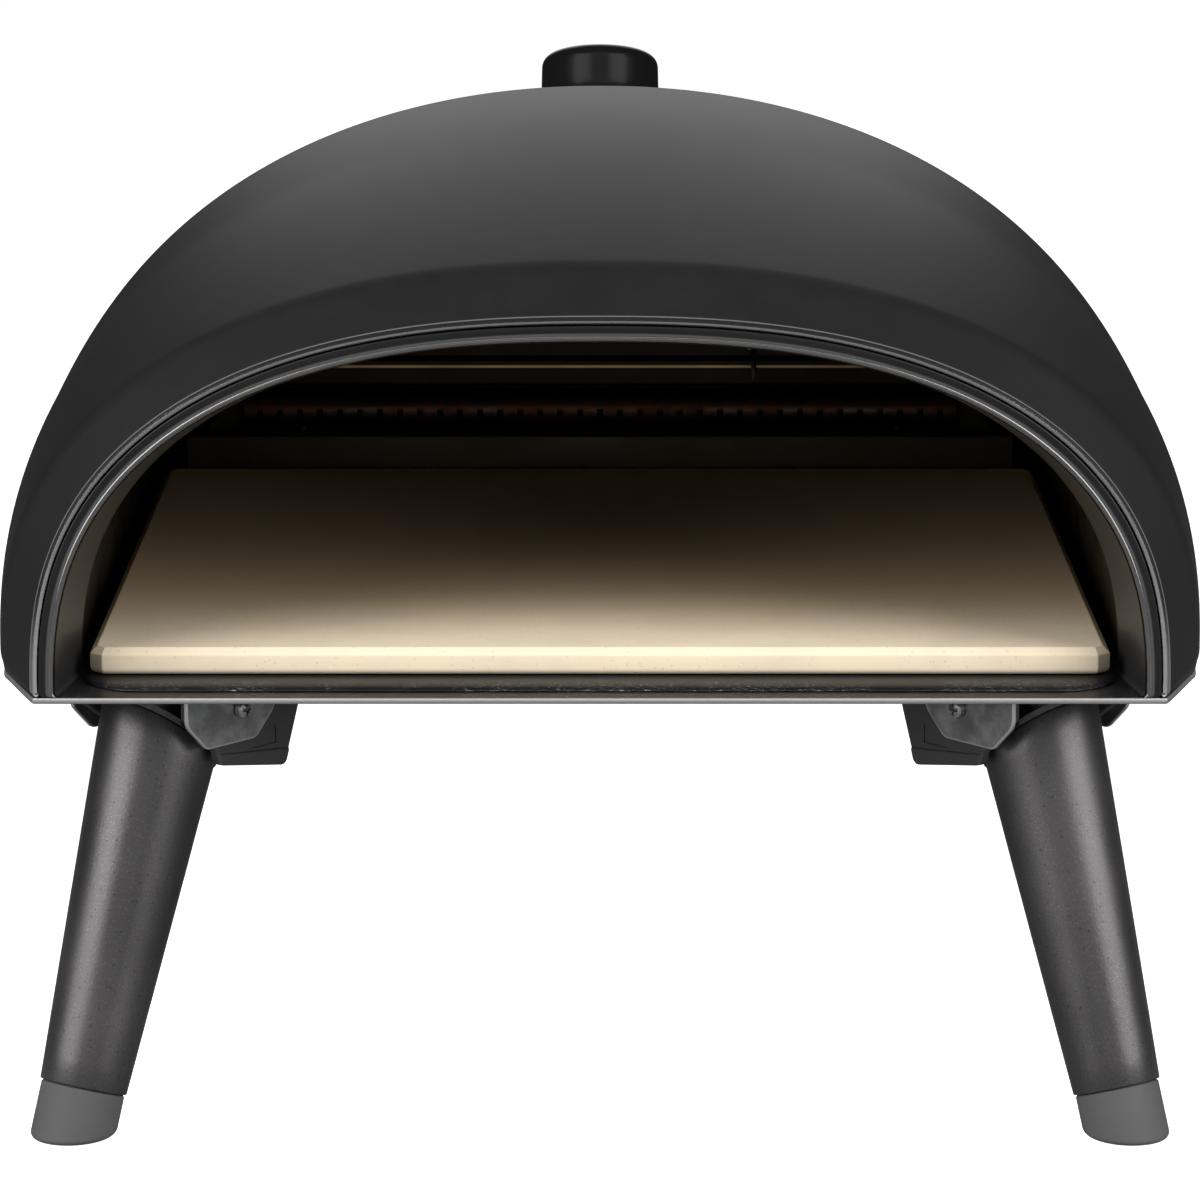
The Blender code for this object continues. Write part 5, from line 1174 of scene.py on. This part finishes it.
class OVEN_OT_burner(bpy.types.Operator):
    """The burner: a closed tube across the back with a row of slots, and its mixing tube"""

    bl_idname = "oven.burner"
    bl_label = "Burner"

    def execute(self, context):
        """A turned tube with round ends, its bore and slots cut out, joined to a turned mixing tube."""
        low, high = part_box("burner_tube")
        radius, half = (high.z - low.z) / 2, high.x
        y, z = low.y + radius, (low.z + high.z) / 2
        wall, soft, feed_radius, feed_bore = 0.0015, 0.0012, 0.0075, 0.006
        pitch, count, slot_x, slot_z = 0.0078, 17, 0.0012, 0.0016
        profile = [(0.001, -half), *arc(radius - soft, soft - half, soft, -soft, ARC)]
        profile += [(r, -h) for r, h in profile[::-1]]
        body = turned(profile, SMALL_ROUND).moved(along_x((0, y, z)))
        feed = tube_between((0, y, z), (0, high.y, z), feed_radius)
        inner = tube_between((wall - half, y, z), (half - wall, y, z), radius - wall)
        feed_inner = tube_between((0, y, z), (0, high.y + 0.01, z), feed_bore)
        front, back = low.y - 0.001, low.y + 0.004
        slots = [
            box_shape((pitch * i - slot_x, front, z - slot_z), (pitch * i + slot_x, back, z + slot_z))
            for i in range(-count, count + 1)
        ]
        row = sum(slots[1:], slots[0])
        dress("burner_pipe", body, "burner_tube", cuts=[inner, feed_inner, row], joins=[feed])
        return {"FINISHED"}


class OVEN_OT_knob(bpy.types.Operator):
    """The gloss control knob, hollow below, and the flared ring that it stands over"""

    bl_idname = "oven.knob"
    bl_label = "Control knob"

    def execute(self, context):
        """Turned profiles: a crowned top, a round shoulder, a wall that flares at its foot with the eighth
        power of the height, and the hollow with its hub. The ring is a quarter ellipse round a collar."""
        sizes = context.scene.oven_knob
        axes = knob_axes()
        bottom, top, shoulder = sizes.bottom, sizes.bottom + sizes.height, sizes.shoulder
        crown, foot, hub, bore = 0.0005, 0.0004, 0.007, 0.0044
        inner, drop, flare = sizes.top_radius - shoulder, shoulder - crown, sizes.radius - sizes.top_radius
        profile = [(inner * r, top - crown * r**2) for r in np.linspace(0.03, 1, 9)[:-1]]
        profile += arc(inner, top - crown - drop, shoulder, drop, np.linspace(0.08, QUARTER, 14))
        fall = sizes.height - shoulder - foot
        profile += [
            (sizes.top_radius + flare * (0.35 * w + 0.65 * w**8), top - shoulder - fall * w)
            for w in np.linspace(0, 1, 14)[1:]
        ]
        hollow, ceiling = sizes.radius - 0.003, bottom + 0.013
        profile += [
            (sizes.radius - foot, bottom), (hollow, bottom), (hollow, ceiling), (hub, ceiling),
            (hub, sizes.boss), (bore, sizes.boss), (bore, sizes.stem_end), (0.0005, sizes.stem_end),
        ]
        dress("control_knob_gloss", turned(profile).moved(axes), "control_knob")
        outer, height, collar = sizes.ring_radius, sizes.ring_height, sizes.ring_collar
        lip, collar_radius, soft = 0.0007, 0.0184, 0.0006
        ring = arc(outer - height, lip, height * 0.98, height, np.linspace(0, QUARTER, 9))
        ring += [
            (outer, lip + 0.0002), (outer - 0.0002, lip), (KNOB_HOLE, lip), (KNOB_HOLE, collar),
            (collar_radius - soft, collar), (collar_radius, collar - soft), (collar_radius, lip + height),
        ]
        dress("knob_ring", turned(ring, caps=()).moved(axes), "knob_bezel")
        return {"FINISHED"}


def cross_head(radius, height, rounding, recess, shank, tail):
    """A domed head with a cross recess on a shank. The head's height falls with the square of the radius, and
    the recess is the greater of two crossed bars, each with soft sides."""
    rim, crown, chamfer = radius - rounding, rounding * 0.35, 0.0003
    profile = [(rim * r, height - crown * r**2) for r in np.linspace(0.02, 1, 30)]
    profile += arc(rim, height - crown - rounding, rounding, rounding, np.linspace(0.1, QUARTER, 7))
    profile += [
        (radius, 0.0001), (radius - 0.0001, 0), (shank, 0),
        (shank, chamfer - tail), (shank - chamfer, -tail), (0.0002, -tail),
    ]
    width = recess * 0.24

    def bar(across, along):
        side = np.clip((width - across) / (width * 0.5) + 0.5, 0, 1)
        return side * np.clip((recess - along) / (width * 0.8), 0, 1)

    def swell(r, h, angle):
        x, y = np.abs(r * np.cos(angle)), np.abs(r * np.sin(angle))
        depth = np.maximum(bar(x, y), bar(y, x)) * height * 0.55
        return r, np.where(h > height * 0.4, h - depth, h)

    return turned(profile, swell=swell)


def hexagon(apothem, height, bore=0.0):
    """A hexagonal nut: the apothem over the cosine of the angle from a flat's middle, with coned faces."""
    corner = apothem / math.cos(math.pi / 6)
    chamfer = (corner - apothem) * 0.9
    drop = chamfer * 0.58
    inner, face = max(bore, 0.0002), apothem * 0.9
    profile = [
        (inner, 0), (face, 0), (corner - chamfer, 0), (corner, drop),
        (corner, height - drop), (corner - chamfer, height), (face, height), (inner, height),
    ]

    def swell(r, h, angle):
        flat = (angle + np.pi / 6) % (np.pi / 3) - np.pi / 6
        return np.minimum(r, apothem / np.cos(flat)), h

    return turned(profile, 72, caps=() if bore else ENDS, swell=swell)


def outwards_y(x, y, z):
    """A place on the back, with Z pointing out of it."""
    return matrix_of((1, 0, 0), (0, 0, -1), (0, 1, 0), (x, y, z))


class OVEN_OT_back(bpy.types.Operator):
    """The back cover with its four cross-head screws, and the threaded gas inlet with its nut"""

    bl_idname = "oven.back"
    bl_label = "Back cover and inlet"

    def execute(self, context):
        """The cover is a rounded plate. The inlet's thread is a wave of the length, shifted by the angle."""
        low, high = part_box("back_cover")
        inlet_low, inlet_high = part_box("gas_inlet")
        x, z = (inlet_low.x + inlet_high.x) / 2, (inlet_low.z + inlet_high.z) / 2
        middle_z = (low.z + high.z) / 2
        corners = rectangle(high.x, low.z - middle_z, high.z - middle_z)
        cover = plate(corners, 0.008, rounded_steps(0, high.y - low.y, 0.0005), arc_steps=8)
        cover = cover.moved(along_y((0, low.y, middle_z)))
        inlet_hole, start_y, end_y = 0.0063, low.y - 0.01, high.y + 0.01
        cuts = [tube_between((x, start_y, z), (x, end_y, z), inlet_hole), *screw_holes(start_y, end_y)]
        dress("service_cover", cover, "back_cover", cuts=cuts)
        head_height = 0.0018
        head = cross_head(0.0032, head_height, 0.0008, 0.0019, 0.0015, 0.007)
        for index, place in enumerate(screw_places(), 1):
            seat = outwards_y(place.x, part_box(f"cover_screw_{index}")[1].y - head_height, place.z)
            dress(f"cover_screw_head_{index}", head.moved(seat), f"cover_screw_{index}")
        seat_y = high.y + GAP
        length = inlet_high.y - seat_y
        radius, pitch, thread_depth, thread_start, thread_end = 0.008, 0.0014, 0.0005, 0.0075, length - 0.0009
        shank, shank_end, mouth = 0.006, -0.015, 0.005
        profile = [
            (0.0002, shank_end), (shank, shank_end), (shank, 0.0005), (radius, 0.001), (radius, 0.0072),
            *[(radius, h) for h in np.linspace(thread_start, thread_end, 90)],
            (radius - 0.0008, length), (mouth, length), (mouth, length * 0.5), (0.0002, length * 0.5),
        ]

        def thread(r, h, angle):
            wave = (1 - np.cos(2 * np.pi * h / pitch - angle)) / 2 * thread_depth
            inside = (r > radius - 0.0001) & (h > thread_start - 0.0001) & (h < thread_end + 0.0001)
            return np.where(inside, r - wave, r), h

        inlet = turned(profile, swell=thread) + hexagon(0.0108, 0.007)
        dress("gas_nipple", inlet.moved(outwards_y(x, seat_y, z)), "gas_inlet")
        return {"FINISHED"}


def leg_axes(name, splay=0.0):
    """Place of a leg's pivot: Y along the bolt, Z up and X outwards, leaned by the splay."""
    y, spot = joint_place(f"leg_{name}_fold")
    z = np.array([0.0, 0.0, 1.0])
    return matrix_of(np.cross(y, z), y, z, spot) @ turn_y(-splay)


def pivot_height():
    return JOINTS["leg_front_left_fold"]["pos_m"][2]


def leg_slope(sizes):
    """Slope of the slanting cut through the tube."""
    return (sizes.top_inner - sizes.top_outer) / (2 * sizes.top_radius)


class OVEN_OT_legs(bpy.types.Operator):
    """The four tapered leg tubes, cut slanting at their tops, and their rubber feet"""

    bl_idname = "oven.legs"
    bl_label = "Legs and feet"

    def tube(self, sizes, end, angle):
        """A loop of wall, outside down and inside up, as share of the length, further way down and inset,
        carried round. The top is where the cone meets the slanting plane or a level."""
        slope, cos = leg_slope(sizes), np.cos(angle)
        taper = (sizes.bottom_radius - sizes.top_radius) / (end - sizes.top_outer)
        cut = sizes.top_outer + slope * sizes.top_radius * (1 - cos) / (1 + slope * taper * cos)
        top = np.minimum(cut, sizes.top_level)
        soft, wall = 0.0004, sizes.wall
        run = np.linspace(0, 1, 15)[1:-1]
        loop = [
            (0, 0, soft), (0, soft * 0.3, soft * 0.3), (0, soft, 0), *[(v, 0, 0) for v in run],
            (1, -soft, 0), (1, -soft * 0.3, soft * 0.3), (1, 0, soft), (1, 0, wall - soft), (1, -soft, wall),
            *[(v, 0, wall) for v in run[::-1]], (0, soft, wall), (0, 0, wall - soft),
        ]
        place, extra, inset = (column(values) for values in zip(*loop))
        along = top + (end - top) * place + extra
        radius = sizes.top_radius + 0.0001 + taper * (along - sizes.top_outer) - inset
        return carried_round(radius, -along, angle, (), sizes.offset)

    def foot(self, sizes, end, whole, angle):
        """A profile of blend, rise and reach carried round: the blend goes from the tube's end, 0, to the
        ground's plane, 1, which leans by the splay."""
        collar, rounding, soft = sizes.foot_radius, sizes.foot_round, 0.0005
        spigot, spigot_top = sizes.bottom_radius - sizes.wall - 2 * GAP, -0.016
        profile = [
            (0, spigot_top, soft), (0, spigot_top, spigot - soft), (0, spigot_top + soft, spigot),
            (0, GAP, spigot), (0, GAP, collar - soft), (0, GAP + soft, collar),
        ]
        edge = arc(-rounding, collar - rounding, rounding, rounding, np.linspace(0, QUARTER, 8))
        profile += [(1, *point) for point in edge]
        blend, rise, reach = (column(values) for values in zip(*profile))
        ground = whole + reach * np.cos(angle) * math.tan(sizes.splay)
        depth = end * (1 - blend) + ground * blend + rise
        return carried_round(reach, -depth, angle, ENDS, sizes.offset)

    def execute(self, context):
        """The leg's line runs from beside the pivot to the ground, and the tube ends above it by the foot."""
        sizes = context.scene.oven_leg
        whole = (pivot_height() + sizes.offset * math.sin(sizes.splay)) / math.cos(sizes.splay)
        end = whole - sizes.foot_collar - sizes.foot_radius * math.tan(sizes.splay)
        angle = full_turn(ROUND)
        tube, foot = self.tube(sizes, end, angle), self.foot(sizes, end, whole, angle)
        for name in LEGS:
            axes = leg_axes(name, sizes.splay)
            dress(f"leg_{name}_tube", tube.moved(axes), f"leg_tube_{name}")
            dress(f"leg_{name}_foot", foot.moved(axes), f"leg_foot_{name}")
        return {"FINISHED"}


def cheek(corners, radii, low_y, high_y, rounding):
    """A plate square to the bolt, from corners in distance outwards and height over the pivot."""
    shape = plate(corners, radii, rounded_steps(0, high_y - low_y, rounding), arc_steps=9)
    return shape.moved(along_y((0, low_y, 0)))


def mirrored(shape):
    """The same shape on the other side of the leg's middle plane."""
    return shape.moved(np.diag([1.0, -1.0, 1.0, 1.0]))


class OVEN_OT_leg_mounts(bpy.types.Operator):
    """The leg brackets with bright edges, the moulded shoes with lips and panel lines, the bolts and nuts"""

    bl_idname = "oven.leg_mounts"
    bl_label = "Leg mounts"

    def bracket(self, sizes, top):
        """Two cheeks with round lower corners and a web between them, joined, with the bolt's holes cut."""
        half, low = sizes.bracket_half_length, top - sizes.bracket_height
        knee, bevel = top - sizes.bracket_straight, sizes.bracket_bevel
        outer = sizes.bracket_half_width
        corners = [
            (-half, top), (-half, knee), (bevel - half, low), (half - bevel, low), (half, knee), (half, top),
        ]
        corners = np.array(corners) + (sizes.bracket_out, 0)
        sharp, wide, tight = 0.0006, 0.006, 0.0045
        near = cheek(corners, [sharp, wide, tight, tight, wide, sharp], outer - BRACKET_SHEET, outer, 0.0005)
        inner, end = outer - BRACKET_SHEET / 2, half + sizes.bracket_out - 0.0005
        web = box_shape((0, -inner, top - BRACKET_SHEET), (end, inner, top - 0.0001))
        hole = tube_between((0, -outer - 0.01, 0), (0, outer + 0.01, 0), sizes.hole_radius, 32)
        return worked("leg_bracket", near, joins=[mirrored(near), web], cuts=[hole])

    def shoe(self, sizes, top):
        """Two moulded cheeks, their lips and the stop block, with the panel line cut in each cheek. The
        block's underside follows the standing tube's slanting top."""
        outer = sizes.bracket_half_width - BRACKET_SHEET - GAP
        inner, low = outer - 0.0035, top - sizes.shoe_height
        far, near = sizes.bracket_out + sizes.shoe_outer, sizes.bracket_out - sizes.shoe_inner
        heel, heel_low, toe = sizes.bracket_out + 0.0039, low + 0.0054, near + 0.007
        corners = [
            (far, top), (far, top - 0.0095), (heel + 0.0021, top - 0.0190), (heel, heel_low),
            (toe, low), (near, low + sizes.shoe_height * 0.6), (near, top),
        ]
        side = cheek(corners, [0.0007, 0.003, 0.002, 0.003, 0.0045, 0.003, 0.0007], inner, outer, 0.0006)
        corners = [
            (heel - 0.0004, heel_low), (toe, low),
            (near + 0.005, low + 0.0058), (heel + 0.0004, heel_low + 0.004),
        ]
        lip = cheek(corners, [0.0022, 0.0028, 0.0008, 0.0008], inner + 0.0016, outer + 0.0005, 0.0005)
        lean = math.atan(leg_slope(sizes)) - sizes.splay
        tube_top = (sizes.offset + sizes.top_radius, 0, -sizes.top_outer + GAP + 0.002)
        spot = turn_y(-sizes.splay)[:3, :3] @ np.array(tube_top)
        start, end, block_half = 0.0095, far - 0.0004, inner + 0.0017
        under = [spot[2] + (x - spot[0]) * math.tan(lean) + 2 * GAP for x in (start, end)]
        block = [(start, top), (start, under[0]), (end, under[1]), (end, top)]
        stop = cheek(block, 0.0005, -block_half, block_half, 0.0003)
        line, line_x, line_z = 0.0005, near + 0.0115, low + 0.0085
        reach = outer + line
        down = box_shape((line_x, outer - line, line_z), (line_x + line, reach, line_z + 0.0062))
        level = box_shape((line_x, outer - line, line_z), (line_x + 0.012, reach, line_z + line))
        hole = tube_between((0, -outer - 0.02, 0), (0, outer + 0.02, 0), sizes.hole_radius, 32)
        cuts = [down, level, mirrored(down), mirrored(level), hole]
        return worked("leg_shoe", stop, joins=[side, mirrored(side), lip, mirrored(lip)], cuts=cuts)

    def execute(self, context):
        """The bracket hangs under the pan, the shoe in the bracket, and the bolt runs through both."""
        sizes = context.scene.oven_leg
        top = PAN_Z - pivot_height() - GAP
        made = {"bracket": self.bracket(sizes, top), "shoe": self.shoe(sizes, top - BRACKET_SHEET - GAP)}
        face = sizes.bracket_half_width + GAP
        shank = 2 * face + 0.0057
        head = cross_head(sizes.head_radius, sizes.head_height, 0.0012, 0.0021, sizes.bolt_radius, shank)
        nut = hexagon(0.0038, 0.0045, sizes.hole_radius)
        for name, side in LEGS.items():
            axes = leg_axes(name)
            for piece, mesh in made.items():
                placed = mesh.copy()
                placed.transform(Matrix(axes.tolist()))
                dress(f"leg_{name}_{piece}", placed, f"leg_{piece}_{name}")
            head_axes = axes @ matrix_of((side, 0, 0), (0, 0, -1), (0, side, 0), (0, side * face, 0))
            nut_axes = axes @ matrix_of((side, 0, 0), (0, 0, 1), (0, -side, 0), (0, -side * face, 0))
            dress(f"leg_{name}_bolt", head.moved(head_axes), f"pivot_bolt_{name}")
            dress(f"leg_{name}_nut", nut.moved(nut_axes), f"pivot_nut_{name}")
        return {"FINISHED"}


class OVEN_OT_inner_finishes(bpy.types.Operator):
    """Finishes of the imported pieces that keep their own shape"""

    bl_idname = "oven.inner_finishes"
    bl_label = "Inner finishes"

    def execute(self, context):
        for node, obj in frame["nodes"].items():
            if not obj.hide_render:
                for slot in obj.material_slots:
                    slot.material = finish_of("leg_coat" if "knuckle" in node else SLOT_OF[node])
        return {"FINISHED"}


def add_lamp(name, place, target, width, height, energy, colour=(1, 1, 1)):
    """A soft box that faces a target and that the camera doesn't see."""
    data = given(bpy.data.lights.new(name, "AREA"), shape="RECTANGLE", size=width, size_y=height)
    given(data, energy=energy, color=colour)
    facing = (Vector(target) - Vector(place)).to_track_quat("-Z", "Y").to_euler()
    given(link(name, data), location=place, rotation_euler=facing, visible_camera=False)


class OVEN_OT_studio(bpy.types.Operator):
    """The pale floor, the soft boxes, the even light and the camera"""

    bl_idname = "oven.studio"
    bl_label = "Studio"

    def execute(self, context):
        """The floor is one flat square. It glows evenly for the camera and is a plain grey for the light."""
        scene = context.scene
        settings = scene.oven_studio
        reach = 14.0
        corners = np.array([(-reach, -reach, 0), (reach, -reach, 0), (reach, reach, 0), (-reach, reach, 0)])
        floor = link("studio_floor", Shape(corners, [[0, 1, 2, 3]]).mesh("studio_floor"))
        pale = Finish("pale_floor", (0.82, 0.82, 0.82), 0.7, Emission_Color=(1, 1, 1, 1))
        seen = pale.add("ShaderNodeLightPath", {}, "Is Camera Ray")
        tone = pale.mix(pale.noise(1.2, 2.0, 0.5), (0.80, 0.80, 0.80), (0.84, 0.84, 0.84))
        pale.feed(
            Base_Color=pale.mix(seen, (0.28, 0.28, 0.28), tone),
            Emission_Strength=pale.times(seen, settings.floor_glow),
        )
        floor.data.materials.append(pale.material)
        middle = (0, 0, 0.2)
        add_lamp("back_panel", (0, 2.4, 1.35), (0, 0, 0.3), 1.6, 1.7, settings.back)
        add_lamp("top_box", (0, -0.95, 1.27), (0, -0.25, 0.16), 1.3, 0.6, settings.top, (1.0, 0.985, 0.965))
        for side in (-1, 1):
            add_lamp(f"side_box_{side + 2}", (side * 1.35, -1.05, 0.6), middle, 1.3, 0.7, settings.side)
            add_lamp(f"high_box_{side + 2}", (side * 1.05, -1.0, 1.2), middle, 1.0, 0.8, settings.high)
        add_lamp("front_fill", (0, -2.6, 0.5), middle, 1.6, 0.5, settings.front)
        world = bpy.data.worlds.new("even_light")
        world.use_nodes = True
        background = world.node_tree.nodes["Background"].inputs
        background["Color"].default_value = (1, 1, 1, 1)
        background["Strength"].default_value = settings.ambient
        scene.world = world
        camera = link("camera", bpy.data.cameras.new("camera"))
        given(camera.data, lens=settings.lens, sensor_width=36.0, clip_end=60.0)
        place = (0, -settings.distance, settings.height)
        scene.camera = given(camera, location=place, rotation_euler=(settings.pitch, 0, 0))
        scene.view_settings.view_transform = "Standard"
        return {"FINISHED"}


class OVEN_PT_panel(bpy.types.Panel):
    """Sizes, finishes and makers of the oven's pieces"""

    bl_idname = "OVEN_PT_panel"
    bl_label = "Pizza oven"
    bl_space_type = "VIEW_3D"
    bl_region_type = "UI"
    bl_category = "Oven"

    def draw(self, context):
        for operator in OPERATORS:
            self.layout.operator(operator.bl_idname)
        for name, group in SETTINGS.items():
            box = self.layout.box()
            for label in group.__annotations__:
                box.prop(getattr(context.scene, name), label)


OPERATORS = (
    OVEN_OT_studio,
    OVEN_OT_dome,
    OVEN_OT_mouth_rim,
    OVEN_OT_chamber,
    OVEN_OT_pan,
    OVEN_OT_stone,
    OVEN_OT_burner,
    OVEN_OT_knob,
    OVEN_OT_back,
    OVEN_OT_legs,
    OVEN_OT_leg_mounts,
    OVEN_OT_inner_finishes,
)
CLASSES = (*SETTINGS.values(), *OPERATORS, OVEN_PT_panel)


def register():
    for cls in CLASSES:
        bpy.utils.register_class(cls)
    for name, group in SETTINGS.items():
        setattr(bpy.types.Scene, name, bpy.props.PointerProperty(type=group))


def unregister():
    for name in SETTINGS:
        delattr(bpy.types.Scene, name)
    for cls in reversed(CLASSES):
        bpy.utils.unregister_class(cls)


def main():
    """Makes every piece and the stage."""
    register()
    for operator in OPERATORS:
        getattr(bpy.ops.oven, operator.bl_idname.split(".")[1])()


if __name__ == "__main__":
    main()
